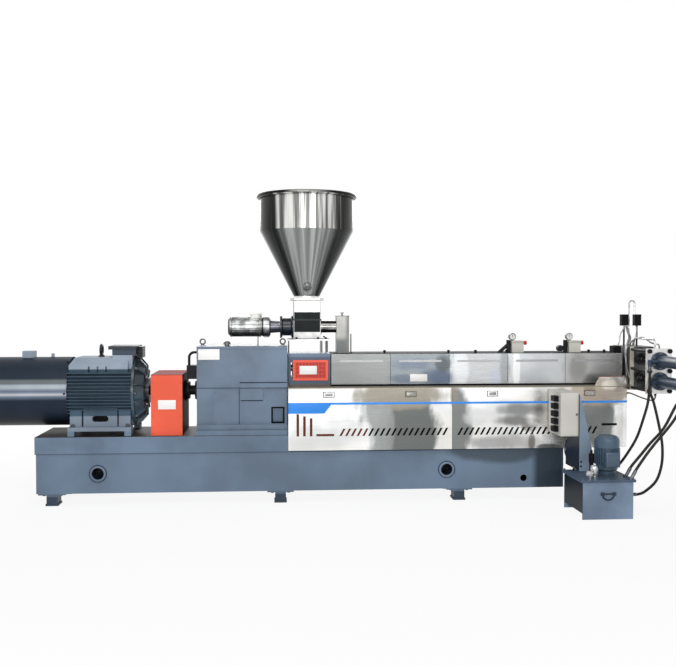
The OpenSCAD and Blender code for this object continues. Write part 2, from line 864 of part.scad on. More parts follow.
// Main terminal box with lid and cable box
module terminal_box() {
    color(slate) {
        slab([term_x0, -term_half, term_z0], [term_x1, term_half, term_z1]);
        slab([term_x0 - term_lid_over, -term_half - 10, term_z1],
            [term_x1 + term_lid_over - 20, term_half + 10, term_z1 + term_lid_t]);
        slab([term_x1, -cable_box_half, term_z0 - 24],
            [term_x1 + cable_box_len, cable_box_half, term_z1 + 0.7 * term_lid_t]);
    }
}

// Lifting eye of the motor, terminal box of its fan and lug on its cowl
module motor_fittings() {
    color(slate) {
        eyebolt(motor_x + 0.45 * motor_len, 0, motor_z + saddle_top, eye_ring, 90);
        difference() {
            slab([fan_box_x, -50, motor_z + cowl_r - 10],
                [fan_box_x + fan_box_len, 50, motor_z + cowl_r + 46]);
            xrod(cowl_r, fan_box_x - 1, fan_box_x + fan_box_len + 1, 0, motor_z);
        }
        difference() {
            slab([lug_x, -12, motor_z + cowl_r - 6], [lug_x + 20, 12, motor_z + cowl_r + 26]);
            xrod(cowl_r, lug_x - 1, lug_x + 21, 0, motor_z);
        }
    }
}

// Sheet guard over the coupling, open underneath
module coupling_guard() {
    color(red)
        difference() {
            union() {
                slab([guard_x, -guard_w / 2, bed_z], [guard_end, guard_w / 2, bed_z + guard_h]);
                xrod(hub_r + 14, guard_end, guard_end + 12, 0, motor_z);
            }
            slab([guard_x + guard_t, -guard_w / 2 + guard_t, bed_z - 1],
                [guard_end - guard_t, guard_w / 2 - guard_t, bed_z + guard_h - guard_t]);
            xrod(hub_r + 8, guard_x - 1, guard_end + 13, 0, motor_z);
        }
}

// Shaft, hubs and pins of the drive coupling
module drive_coupling() {
    color(dark) {
        xrod(motor_shaft_r, motor_end + 4, gear_x - 4, 0, motor_z);
        xrod(hub_r, guard_x + 30, guard_x + 108, 0, motor_z);
        xrod(hub_r, guard_x + 116, guard_end + 34, 0, motor_z);
        for (a = [0 : 60 : 300])
            translate([0, 0, motor_z])
                rotate([a, 0, 0])
                    xrod(8, guard_x + 100, guard_x + 124, 0, hub_r - 18);
    }
}

// Lower casing with its foot flange, cover plates and oil window
module gearbox_lower() {
    color(paint)
        difference() {
            union() {
                slab([gear_x, -gear_half - gear_foot_over, seat_z],
                    [gear_end, gear_half + gear_foot_over, gear_body_z]);
                slab([gear_x, -gear_half, gear_body_z], [gear_end, gear_half, gear_split_z]);
                both_sides() {
                    slab([gear_x + 0.18 * gear_len, gear_half, gear_body_z],
                        [gear_step - 6, gear_half + plate_proud, gear_split_z - 12]);
                    slab([gear_step + 8, gear_half, gear_split_z - 92],
                        [gear_step + 0.26 * gear_len, gear_half + plate_proud + 2, gear_split_z]);
                }
            }
            both_sides()
                slab([gear_end - 118, gear_half - 14, gear_body_z + 14],
                    [gear_end - 26, gear_half + 1, gear_body_z + 122]);
        }
}

// Upper casing with the split flange and the flange towards the feed housing
module gearbox_upper() {
    color(paint)
        difference() {
            union() {
                slab([gear_x, -gear_half, gear_split_z], [gear_end, gear_half, gear_top_z]);
                slab([gear_step, -gear_half - 14, gear_split_z],
                    [gear_end, gear_half + 14, gear_split_z + gear_flange_t]);
                xrod(output_r, gear_end, feed_x, 0, axis_z);
            }
            for (s = [-1, 1])
                xrod(shaft_r + 3, gear_end - 40, feed_x + 1, s * shaft_pitch / 2, axis_z);
        }
}

module gearbox_lid() {
    color(paint)
        slab([gear_x, -gear_half - 8, gear_top_z], [gear_end, gear_half + 8, gear_lid_z]);
}

// Lifting eyes and breather on the lid
module gearbox_fittings() {
    color(dark) {
        eyebolt(gear_x + eye_in, 0, gear_lid_z, 0.54 * eye_ring);
        eyebolt(gear_end - 1.2 * eye_in, 0, gear_lid_z, 0.54 * eye_ring);
        zrod(0.6 * breather_r, gear_lid_z, gear_lid_z + 10, breather_x, -gear_half / 2);
        translate([breather_x, -gear_half / 2, gear_lid_z + 10])
            rotate_extrude()
                polygon([[0, 0], [breather_r, 0], [0.94 * breather_r, 8], [0.74 * breather_r, 18],
                    [0.4 * breather_r, 25], [0, 28]]);
    }
}

// Seal cover on the gearbox's input side, with the lubricating pump above it and its pipe
module input_cover() {
    color(dark) {
        difference() {
            xrod(input_r, gear_x - input_t, gear_x, 0, motor_z);
            xrod(motor_shaft_r + run_gap, gear_x - input_t - 6, gear_x + 1, 0, motor_z);
        }
        slab([gear_x - pump_len, pump_y0, pump_low], [gear_x, pump_y1, pump_top]);
        zrod(pipe_r, pump_top, pipe_z - pipe_bend, pipe_x - pipe_bend, pipe_y);
        bend_xz(pipe_r, pipe_bend, pipe_x, pipe_y, pipe_z - pipe_bend);
        xrod(pipe_r, pipe_x, gear_x, pipe_y, pipe_z);
    }
}

// Hollow housing between gearbox and barrel, with a window in front and behind
module feed_housing() {
    color(paint)
        difference() {
            slab([feed_x, -feed_half, feed_z0], [feed_end, feed_half, feed_z1]);
            slab([feed_x + feed_wall, -feed_half - 1, grille_z0 + 18],
                [feed_end - feed_wall - 10, feed_half + 1, grille_z0 + grille_h - 18]);
            for (s = [-1, 1])
                xrod(shaft_r + 3, feed_x - 1, feed_end + 1, s * shaft_pitch / 2, axis_z);
        }
}

// Red grilles over the two windows
module feed_grilles() {
    color(red)
        both_sides()
            difference() {
                slab([grille_x0, feed_half, grille_z0],
                    [grille_x0 + grille_len, feed_half + grille_t, grille_z0 + grille_h]);
                for (i = [0 : 8])
                    for (k = [0 : 3])
                        slab([grille_x0 + 24 + i * (grille_len - 40) / 9, feed_half - 1,
                                grille_z0 + 22 + k * (grille_h - 36) / 4],
                            [grille_x0 + 16 + (i + 1) * (grille_len - 40) / 9, feed_half + grille_t + 1,
                                grille_z0 + 14 + (k + 1) * (grille_h - 36) / 4]);
            }
}

// The two screw shafts that pass the feed housing
module screw_shafts() {
    color(steel)
        for (s = [-1, 1])
            xrod(shaft_r, gear_end - 40, feed_end, s * shaft_pitch / 2, axis_z);
}

// Hopper: cone and cylinder of sheet with a rolled rim and a sight port
module hopper() {
    color(steel) {
        translate([hopper_x, 0, 0])
            rotate_extrude() {
                polygon([[outlet_d / 2 - hopper_t, cone_z0], [outlet_d / 2, cone_z0],
                    [outlet_d / 2, cone_z0 + spigot_h], [hopper_d / 2, cone_z1],
                    [hopper_d / 2, hopper_top - rim_r], [hopper_d / 2 - hopper_t, hopper_top - rim_r],
                    [hopper_d / 2 - hopper_t, cone_z1], [outlet_d / 2 - hopper_t, cone_z0 + spigot_h]]);
                translate([hopper_d / 2 + rim_r - hopper_t, hopper_top - rim_r])
                    circle(r = rim_r);
            }
        translate([hopper_x, -port_y, port_z])
            rotate([90 + cone_tilt, 0, 0])
                translate([0, 0, 0.5 - hopper_t])
                    cylinder(r = port_r, h = port_len);
    }
}

// Sheet neck with its flange under the hopper
module feeder_neck() {
    color(steel)
        difference() {
            union() {
                slab([trough_x0, -trough_len / 2, trough_z1], [trough_x1, trough_len / 2, neck_z1]);
                slab([hopper_x - flange_half, -flange_half, neck_z1],
                    [hopper_x + flange_half, flange_half, cone_z0]);
            }
            slab([trough_x0 + 4, -trough_len / 2 + 4, trough_z1 - 1],
                [trough_x1 - 4, trough_len / 2 - 4, neck_z1 - 1]);
            zrod(outlet_d / 2 - hopper_t, neck_z1 - 2, cone_z0 + 1, hopper_x, 0);
        }
}

// Closed body of the screw feeder with its end plates
module feeder_body() {
    color(steel) {
        slab([trough_x0 + 6, -trough_half, trough_z0], [trough_x1 - 6, trough_half, trough_z1]);
        slab([trough_x0, -trough_half - 6, trough_z0], [trough_x0 + 6, trough_half + 6, trough_z1]);
        slab([trough_x1 - 6, -trough_half - 6, trough_z0], [trough_x1, trough_half + 6, trough_z1]);
    }
}

// Plate and legs that carry the feeder on the feed housing
module feeder_stand() {
    color(steel) {
        slab([feed_x - 4, -140, stand_z], [feed_end - 5, 140, stand_z + stand_t]);
        for (x = [feed_x + 2, feed_end - 66, feed_end - 24])
            slab([x, -130, feed_z1], [x + 7, 130, stand_z]);
    }
}

// Bell-shaped lantern between the feeder and its drive
module feeder_lantern() {
    color(dark)
        turned_x(lantern_x0, 0, feeder_z)
            polygon([[0, 0], [lantern_r, 0], [lantern_r, 12], [lantern_r - 18, 22],
                [lantern_r - 18, lantern_len - 22], [lantern_r, lantern_len - 12],
                [lantern_r, lantern_len], [0, lantern_len]]);
}

// Geared motor of the feeder with its strut to the gearbox
module feeder_motor() {
    color(steel) {
        turned_x(drive_x0, 0, feeder_z)
            polygon([[0, 0], [drive_r - 14, 0], [drive_r, 16], [drive_r, drive_len - 62],
                [drive_r + 6, drive_len - 58], [drive_r + 6, drive_len - 10], [drive_r - 6, drive_len],
                [50, drive_len], [44, drive_len + drive_neck], [0, drive_len + drive_neck]]);
        slab([drive_x0 + 173, -45, feeder_z + drive_r - 20], [drive_x0 + 259, 45, feeder_z + drive_r + 34]);
        slab([drive_x0 + drive_len - 52, -34, feeder_z - drive_r - 10],
            [drive_x0 + drive_len - 14, 34, feeder_z - drive_r + 30]);
        zrod(5, gear_lid_z, feeder_z - drive_r + 10, drive_x0 + 230, 0);
    }
}

module feeder_tube() {
    color(steel) {
        xrod(tube_r, trough_x1, chute_x0, 0, feeder_z);
        xrod(tube_r + 16, trough_x1, trough_x1 + 10, 0, feeder_z);
    }
}

// Drop chute from the feeder tube into the barrel
module feed_chute() {
    color(steel) {
        difference() {
            slab([chute_x0, -chute_w / 2, chute_z0], [chute_x1, chute_w / 2, chute_z1]);
            slab([chute_x0 + chute_t, -chute_w / 2 + chute_t, chute_z0 - 1],
                [chute_x1 - chute_t, chute_w / 2 - chute_t, chute_z1 - chute_t]);
        }
        slab([chute_x0 - 5, -chute_w / 2 - 5, chute_z1], [chute_x1 + 5, chute_w / 2 + 5, chute_z1 + 4]);
        zrod(7, chute_z1 + 4, chute_z1 + 20, (chute_x0 + chute_x1) / 2, 0);
        zrod(13, chute_z1 + 20, chute_z1 + 28, (chute_x0 + chute_x1) / 2, 0);
        zrod(5, cover_z1, cover_z1 + 150, chute_x1 + 14, -60);
    }
}

// Barrel with its clamp flanges and the adapter towards the changer
module barrel() {
    color(dark) {
        slab([feed_end, -barrel_half, axis_z - barrel_half], [barrel_end, barrel_half, axis_z + barrel_half]);
        for (i = [1 : cover_count])
            slab([cover_x + i * cover_pitch - 60, -barrel_half - 12, axis_z - barrel_half - 8],
                [cover_x + i * cover_pitch - 25, barrel_half + 12, axis_z + barrel_half + 8]);
        xrod(90, barrel_end, changer_x, 0, axis_z);
    }
}

// Stands that carry the barrel on the bed
module barrel_stands() {
    color(paint)
        for (f = [0.22, 0.5, 0.72]) {
            slab([cover_x + f * cover_run - 60, -90, bed_z + 20],
                [cover_x + f * cover_run - 40, 90, axis_z - barrel_half]);
            slab([cover_x + f * cover_run - 110, -120, bed_z],
                [cover_x + f * cover_run + 10, 120, bed_z + 20]);
        }
}

// Upper covers with a handle bar on each side
module upper_covers() {
    color(steel)
        for (i = [0 : cover_count - 1])
            difference() {
                union() {
                    slab([cover_x + i * cover_pitch, -cover_half, cover_z0],
                        [cover_x + (i + 1) * cover_pitch - cover_gap, cover_half, cover_z1]);
                    both_sides()
                        translate([cover_x + (i + 0.5) * cover_pitch, cover_half, cover_z1])
                            slab([-cover_bar_len / 2, 0, -66], [cover_bar_len / 2, 12, -50]);
                }
                slab([cover_x + i * cover_pitch - (i == 0 ? -sheet_t : 1),
                        -cover_half + sheet_t, cover_z0 - 1],
                    [cover_x + (i + 1) * cover_pitch - (i == cover_count - 1 ? cover_gap + sheet_t : -1),
                        cover_half - sheet_t, cover_z1 - sheet_t]);
                if (i == 0)
                    slab([cover_x - 1, -barrel_half - 6, axis_z - barrel_half - 6],
                        [cover_x + sheet_t + 1, barrel_half + 6, axis_z + barrel_half + 6]);
                if (i == 0)
                    slab([chute_x0 - 4, -chute_w / 2 - 4, cover_z1 - sheet_t - 1],
                        [chute_x1 + 4, chute_w / 2 + 4, cover_z1 + 1]);
                if (i == cover_count - 1)
                    xrod(barrel_half + 10, cover_end - cover_gap - sheet_t - 1, cover_end + 1, 0, axis_z);
            }
}

// Seal strips between apron ledges and covers
module cover_seals() {
    color(dark)
        both_sides()
            slab([cover_x, cover_half - 16, ledge_z], [cover_end - cover_gap, cover_half - 1, cover_z0]);
}

// Slanted cut of a slot row, as a profile in x and z
module slant(x, z) {
    lean = 0.55 * slot_h;
    polygon([[x, z], [x + slot_w, z], [x + slot_w + lean, z + slot_h], [x + lean, z + slot_h]]);
}

// One folded apron sheet on the +y side between two places along the machine
module apron_sheet(x0, x1, last) {
    slab([x0, apron_y - sheet_t, apron_z0], [x1, apron_y, ledge_z]);
    slab([x0, bed_half, apron_z0], [min(x1, base_len - 20), apron_y, apron_z0 + sheet_t]);
    slab([x0, ledge_in, ledge_z - sheet_t], [x1, apron_y, ledge_z]);
    slab([x0, bed_half, apron_z0], [x0 + sheet_t, apron_y, ledge_z]);
    slab([x1 - sheet_t, bed_half, apron_z0], [x1, apron_y, ledge_z]);
    if (last)
        along_y(apron_y - sheet_t, apron_y)
            polygon([[x1 + strip_w - apron_rise_len - 40, ledge_z - 2], [x1, ledge_z - 2],
                [x1, ledge_z + apron_rise],
                [x1 + strip_w - apron_rise_len, ledge_z + apron_rise],
                [x1 + strip_w - apron_rise_len - 40, ledge_z]]);
}

module apron_latches(x0, x1, places) {
    for (f = places)
        slab([x0 + f * (x1 - x0) - latch_w / 2, apron_y, ledge_z - 72],
            [x0 + f * (x1 - x0) + latch_w / 2, apron_y + latch_t, ledge_z - 72 + latch_h]);
}

module apron_pair() {
    apron_sheet(apron_x, apron_split - 2, false);
    apron_latches(apron_x, apron_split - 2, [0.245, 0.745]);
    apron_sheet(apron_split, strip_x, true);
    apron_latches(apron_split, strip_x, [0.236, 0.819]);
}

// Front apron with its cut slots
module apron_front() {
    color(steel)
        difference() {
            mirror([0, 1, 0])
                apron_pair();
            along_y(-apron_y - 1, -apron_y + sheet_t + 1) {
                for (k = [0 : 2])
                    translate([apron_x + 62 + 50 * k, ledge_z - 362])
                        square([slot_w + 3, 166 - 16 * k]);
                translate([apron_x + 212, ledge_z - 362])
                    square([130, slot_w]);
                for (k = [0 : 18])
                    slant(apron_x + 385 + k * slot_pitch, ledge_z - 362);
                for (k = [0 : 24])
                    slant(apron_split + 40 + k * slot_pitch, ledge_z - 362);
                translate([strip_x - 136, ledge_z - 300])
                    square([116, slot_w]);
            }
        }
}

module apron_rear() {
    color(steel)
        apron_pair();
}

// Plan of the bent strip, set in by a distance
module strip_plan(inset) {
    x1 = apron_end - inset;
    y1 = apron_y - inset;
    r = strip_r - inset;
    intersection() {
        translate([strip_x - inset, -y1])
            square([strip_w, 2 * y1]);
        union() {
            translate([strip_x - inset, -y1])
                square([strip_w - strip_r + inset, 2 * y1]);
            translate([strip_x - inset, r - y1])
                square([x1 - strip_x + inset, 2 * (y1 - r)]);
            for (m = [-1, 1])
                translate([x1 - r, m * (y1 - r)])
                    circle(r = r);
        }
    }
}

// Bent sheet that closes the right end of the apron
module apron_end_sheet() {
    color(steel)
        difference() {
            translate([0, 0, apron_z0])
                linear_extrude(height = ledge_z + apron_rise - apron_z0)
                    difference() {
                        strip_plan(0);
                        strip_plan(sheet_t);
                    }
            slab([strip_x - 1, -cover_half - 20, ledge_z],
                [apron_end + 1, cover_half + 20, ledge_z + apron_rise + 1]);
        }
    color(steel)
        translate([0, 0, ledge_z - sheet_t])
            linear_extrude(height = sheet_t)
                difference() {
                    strip_plan(1);
                    translate([strip_x - 2, -ledge_in])
                        square([strip_w + 3, 2 * ledge_in]);
                    translate([strip_x - 2, -apron_y])
                        square([2, 2 * apron_y]);
                }
}

vents_x = [cover_x + 0.643 * cover_run, cover_x + 0.843 * cover_run];
vent_half = 46;
vent_y = -55;
vent_h = 90;
valve_r = 17;
valve_h = 98;
valve_off = vent_half + valve_r + 0.5;
gauge_r = 27;
elbow_r = 14;
elbow_lean = 49;
drum_r = 24;

module vent_boxes() {
    color(beige)
        for (x = vents_x)
            slab([x - vent_half, vent_y - 45, cover_z1], [x + vent_half, vent_y + 45, cover_z1 + vent_h]);
}

// Valve and gauge of each vent, a leaning pipe at the first and a round trap at the second
module vent_fittings() {
    color(dark) {
        for (x = vents_x) {
            zrod(valve_r, cover_z1, cover_z1 + valve_h, x - valve_off, vent_y);
            xrod(9, x - valve_off, x - vent_half, vent_y, cover_z1 + 60);
            zrod(7, cover_z1 + vent_h, cover_z1 + vent_h + 12, x - 36, vent_y);
            yrod(gauge_r, vent_y - 13, vent_y + 13, x - 36, cover_z1 + vent_h + 8 + gauge_r);
        }
        difference() {
            translate([vents_x[0] - valve_off, vent_y, cover_z1 + 66])
                rotate([0, -180 + elbow_lean, 0])
                    cylinder(r = elbow_r, h = 130);
            slab([vents_x[0] - 240, vent_y - 40, cover_z1 - 140], [vents_x[0], vent_y + 40, cover_z1]);
        }
        xrod(elbow_r, vents_x[1] - valve_off - 40, vents_x[1] - valve_off, vent_y, cover_z1 + 33);
        yrod(drum_r, vent_y - 24, vent_y + 24, vents_x[1] - valve_off - 44, cover_z1 + 33);
    }
}

module vent_knobs() {
    color(red)
        for (x = vents_x) {
            xrod(8, x + vent_half, x + vent_half + 16, vent_y, cover_z1 + 76);
            xrod(16, x + vent_half + 16, x + vent_half + 34, vent_y, cover_z1 + 76);
        }
}

// Block of the screen changer with two piston bores, melt outlet and bolt holes
module changer_body() {
    color(steel)
        difference() {
            slab([changer_x, -changer_front, changer_z0], [changer_end, changer_rear, changer_z1]);
            for (z = pistons_z)
                yrod(piston_r + run_gap, -changer_front - 1, changer_rear + 1, changer_mid, z);
            xrod(outlet_r, changer_end - 70, changer_end + 1, 0, axis_z);
            for (a = [22.5 : 45 : 337.5])
                translate([0, 0, axis_z])
                    rotate([a, 0, 0])
                        xrod(outlet_hole_r, changer_end - 30, changer_end + 1, 0, outlet_pcd / 2);
        }
}

// Tie rods between block and cylinder plate, with a nut on each
module tie_rods() {
    color(dark)
        for (dx = [-tie_dx, tie_dx])
            for (dz = [-tie_dz, 0, tie_dz]) {
                yrod(tie_r, plate_y1, -changer_front, changer_mid + dx, axis_z + dz);
                yrod(tie_r + 6, plate_y0 - nut_t, plate_y0, changer_mid + dx, axis_z + dz);
                yrod(tie_r - 1, plate_y0 - nut_t - stud_t, plate_y0 - nut_t, changer_mid + dx, axis_z + dz);
            }
}

module cylinder_plate() {
    color(steel)
        difference() {
            slab([changer_x, plate_y0, changer_z0], [changer_end, plate_y1, changer_z1]);
            for (z = pistons_z)
                yrod(rod_r + run_gap, plate_y0 - 1, plate_y1 + 1, changer_mid, z);
        }
}

// The two hydraulic cylinders, hollow for their rods, with a hose port at each end
module hydraulic_cylinders() {
    color(slate)
        for (z = pistons_z)
            difference() {
                union() {
                    yrod(cyl_flange_r, plate_y0 - cyl_flange_t, plate_y0, changer_mid, z);
                    yrod(cyl_r, cyl_end_y, plate_y0, changer_mid, z);
                    yrod(cyl_cap_r, cyl_end_y, cyl_end_y + cyl_cap_t, changer_mid, z);
                    if (z > axis_z) {
                        xrod(port_boss_r, rod_port_x, changer_mid, rod_port_y, z);
                        zrod(banjo_r, z - banjo_drop, z + banjo_r, rod_port_x, rod_port_y);
                        xrod(port_boss_r, changer_mid, cap_port_x, cap_port_y, z);
                        zrod(banjo_r, z - banjo_drop, z + banjo_r, cap_port_x, cap_port_y);
                    } else {
                        xrod(port_boss_r, low_port_x, changer_mid, low_port_y, z);
                        zrod(banjo_r, z - banjo_drop, z + banjo_r, low_port_x, low_port_y);
                        zrod(banjo_r, low_cap_z, z, changer_mid, low_cap_y);
                    }
                }
                yrod(cyl_bore_r, cyl_end_y + 30, plate_y0 - 40, changer_mid, z);
                yrod(rod_r + run_gap, plate_y0 - 41, plate_y0 + 1, changer_mid, z);
            }
}

// A screen piston with its coupler, rod and hydraulic piston
module screen_piston(z) {
    front = -changer_front - piston_proud;
    difference() {
        yrod(piston_r, front, changer_rear, changer_mid, z);
        xrod(piston_r - 18, changer_mid - piston_r - 1, changer_mid + piston_r + 1, -changer_front + 90, z);
    }
    yrod(rod_r + 12, front - coupler_len, front, changer_mid, z);
    yrod(rod_r, plate_y0 - 90, front - coupler_len, changer_mid, z);
    yrod(cyl_bore_r - run_gap, plate_y0 - 114, plate_y0 - 90, changer_mid, z);
}

module piston_upper() {
    color(steel)
        screen_piston(pistons_z[0]);
}

module piston_lower() {
    color(steel)
        screen_piston(pistons_z[1]);
}

// Two melt-pressure sensors on stems
module pressure_sensors() {
    color(dark)
        for (x = [sensor_ax, sensor_bx]) {
            zrod(7, changer_z1, changer_z1 + sensor_up, x, sensor_y);
            slab([x - sensor_w / 2, sensor_y - sensor_d / 2, changer_z1 + sensor_up],
                [x + sensor_w / 2, sensor_y + sensor_d / 2, changer_z1 + sensor_up + sensor_h]);
        }
}

// Sheathed lead that loops from the right sensor's head down to the block
module sensor_leads() {
    color(steel) {
        zrod(lead_r, changer_z1, lead_top, lead_x, sensor_y);
        bend_xz(lead_r, lead_bend, lead_x + lead_bend, sensor_y, lead_top);
        translate([2 * (lead_x + lead_bend), 0, 0])
            mirror([1, 0, 0])
                bend_xz(lead_r, lead_bend, lead_x + lead_bend, sensor_y, lead_top);
        zrod(lead_r, changer_z1 + sensor_up + sensor_h, lead_top, lead_x + 2 * lead_bend, sensor_y);
    }
}

// Small-bore pipe from the block's top to the cylinder plate's top
module grease_pipe() {
    color(steel) {
        zrod(grease_r, changer_z1, grease_z - grease_bend, grease_x, grease_y);
        translate([grease_x, grease_y - grease_bend, grease_z - grease_bend])
            rotate([90, 0, 90])
                rotate_extrude(angle = 90)
                    translate([grease_bend, 0])
                        circle(r = grease_r);
        yrod(grease_r, plate_y0 + 12 + grease_bend, grease_y - grease_bend, grease_x, grease_z);
        translate([grease_x, plate_y0 + 12 + grease_bend, grease_z - grease_bend])
            rotate([90, 0, 90])
                rotate([0, 0, 90])
                    rotate_extrude(angle = 90)
                        translate([grease_bend, 0])
                            circle(r = grease_r);
        zrod(grease_r, changer_z1, grease_z - grease_bend, grease_x, plate_y0 + 12);
    }
}

// Black terminal block of the heaters on the last cover
module heater_terminal() {
    color(dark)
        slab([cover_end - 66, -150, cover_z1], [cover_end - 6, -62, cover_z1 + 52]);
}

// Oil tank on two end plates with a bail handle in front
module oil_tank() {
    color(paint) {
        for (m = [-1, 1])
            slab([tank_mid + m * bail_r - 9, tank_y0 - 13, bail_z - 9],
                [tank_mid + m * bail_r + 9, tank_y0, bail_z + 9]);
        translate([tank_mid, tank_y0 - 7, bail_z])
            rotate([90, 0, 0])
                rotate([0, 0, 180])
                    rotate_extrude(angle = 180)
                        translate([bail_r, 0])
                            circle(r = bail_t);
        xrod(bail_t, tank_mid - bail_r, tank_mid + bail_r, tank_y0 - 7, bail_z);
        slab([tank_x, tank_y0, 0], [tank_x1, tank_y0 + 8, tank_h]);
        slab([tank_x, tank_y1 - 8, 0], [tank_x1, tank_y1, tank_h]);
        slab([tank_x, tank_y0, tank_gap], [tank_x1, tank_y1, tank_h]);
    }
}

module tank_lid() {
    color(paint)
        slab([tank_x - tank_lid_over, tank_y0 - tank_lid_over, tank_h],
            [tank_x1 + tank_lid_over, tank_y1 + tank_lid_over, lid_z]);
}

// Upright pump motor with its terminal box
module pump_motor() {
    color(slate) {
        translate([pump_x, pump_y, lid_z])
            rotate_extrude()
                polygon([[0, 0], [0.66 * pump_r, 0], [0.66 * pump_r, 20], [pump_r - 16, 32],
                    [pump_r - 16, 190], [pump_r - 4, 190], [pump_r - 4, pump_h - 36],
                    [pump_r - 8, pump_h - 20], [pump_r - 18, pump_h - 8], [pump_r - 36, pump_h],
                    [0, pump_h]]);
        slab([pump_x - 52, pump_y - pump_r - 28, lid_z + 0.22 * pump_h],
            [pump_x + 52, pump_y - pump_r + 30, lid_z + 0.61 * pump_h]);
    }
}

// Filler cap and return filter on the lid
module tank_fittings() {
    color(steel) {
        translate([tank_x + 80, tank_y0 + 82, lid_z])
            rotate_extrude()
                polygon([[0, 0], [22, 0], [22, 14], [31, 18], [31, 34], [27, 44], [18, 51], [0, 54]]);
        translate([tank_x + 128, tank_y0 + 134, lid_z])
            rotate_extrude()
                polygon([[0, 0], [29, 0], [29, 60], [26, 72], [18, 80], [0, 83]]);
    }
}

// Hose unions on the lid and on the tank's right side
module oil_unions() {
    color(dark) {
        for (i = [0 : 2]) {
            zrod(union_r + 4, lid_z, lid_z + 14, union_x - 4, union_ys[i]);
            translate(union_low(i))
                rotate([0, union_tilts[i], 0])
                    cylinder(r = union_r, h = union_len);
        }
        xrod(union_r, tank_x1, tank_x1 + side_union_len, side_union_y, side_union_z);
    }
}

module hose_upper_rod() {
    color(dark)
        hose(upper_rod_route);
}

module hose_lower_rod() {
    color(dark)
        hose(lower_rod_route);
}

module hose_upper_cap() {
    color(dark)
        hose(upper_cap_route);
}

module hose_lower_cap() {
    color(dark)
        hose(lower_cap_route);
}

// Folded post that carries the junction box
module box_post() {
    color(paint) {
        slab([jbox_x1, post_y0, lid_z], [jbox_x1 + post_t, jbox_y1, post_top]);
        along_y(post_y0 - post_t, post_y0)
            polygon([[jbox_x1, lid_z], [jbox_x1 + post_w, lid_z], [jbox_x1 + post_w, lid_z + 160],
                [jbox_x1 + post_t, post_top], [jbox_x1, post_top]]);
    }
}

module junction_box() {
    color(beige)
        slab([jbox_x0, jbox_y0, jbox_z0], [jbox_x1, jbox_y1, jbox_z0 + jbox_h]);
}

// Plug connectors on the box's left side, and the cables' glands
module box_connectors() {
    color(dark) {
        for (k = [0 : 4])
            slab([jbox_x0 - 34, jbox_y0 + 50, jbox_z0 + 26 + k * 56],
                [jbox_x0, jbox_y0 + 130, jbox_z0 + 66 + k * 56]);
        zrod(gland_r, box_gland[2], jbox_z0, box_gland[0], box_gland[1]);
        zrod(gland_r, lid_z, lid_gland[2], lid_gland[0], lid_gland[1]);
        xrod(gland_r, apron_end, sheet_gland[0], sheet_gland[1], sheet_gland[2]);
        zrod(gland_r, plate_gland[2], changer_z0, plate_gland[0], plate_gland[1]);
    }
}

module box_cable() {
    color(dark)
        hose(box_cable_route, cable_r);
}

module heater_cable() {
    color(dark)
        hose(heater_cable_route, cable_r);
}

place() base_box();
place() bed_beam();
place() levelling_feet();
place() motor_frame();
place() motor_end_shield();
place() fan_cowl();
place() terminal_box();
place() motor_fittings();
place() coupling_guard();
place() drive_coupling();
place() gearbox_lower();
place() gearbox_upper();
place() gearbox_lid();
place() gearbox_fittings();
place() input_cover();
place() feed_housing();
place() feed_grilles();
place() screw_shafts();
place() hopper();
place() feeder_neck();
place() feeder_body();
place() feeder_stand();
place() feeder_lantern();
place() feeder_motor();
place() feeder_tube();
place() feed_chute();
place() barrel();
place() barrel_stands();
place() upper_covers();
place() cover_seals();
place() apron_front();
place() apron_rear();
place() apron_end_sheet();
place() vent_boxes();
place() vent_fittings();
place() vent_knobs();
place() changer_body();
place() tie_rods();
place() cylinder_plate();
place() hydraulic_cylinders();
place() piston_upper();
place() piston_lower();
place() pressure_sensors();
place() sensor_leads();
place() grease_pipe();
place() heater_terminal();
place() oil_tank();
place() tank_lid();
place() pump_motor();
place() tank_fittings();
place() oil_unions();
place() box_post();
place() junction_box();
place() box_connectors();
place() hose_upper_rod();
place() hose_lower_rod();
place() hose_upper_cap();
place() hose_lower_cap();
place() box_cable();
place() heater_cable();
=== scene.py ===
"""Twin-screw pelletizing extruder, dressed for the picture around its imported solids.

Machine places are written in millimetres from the left end of the base (x), the screw
plane (y, away from the operator) and the floor (z). Datum turns them into the row frame.
"""
from __future__ import annotations

import json
import logging
import math
from dataclasses import dataclass, field
from enum import Enum
from functools import cached_property
from typing import Callable, Iterable, Mapping, Sequence, Union

import bpy
from mathutils import Matrix, Vector

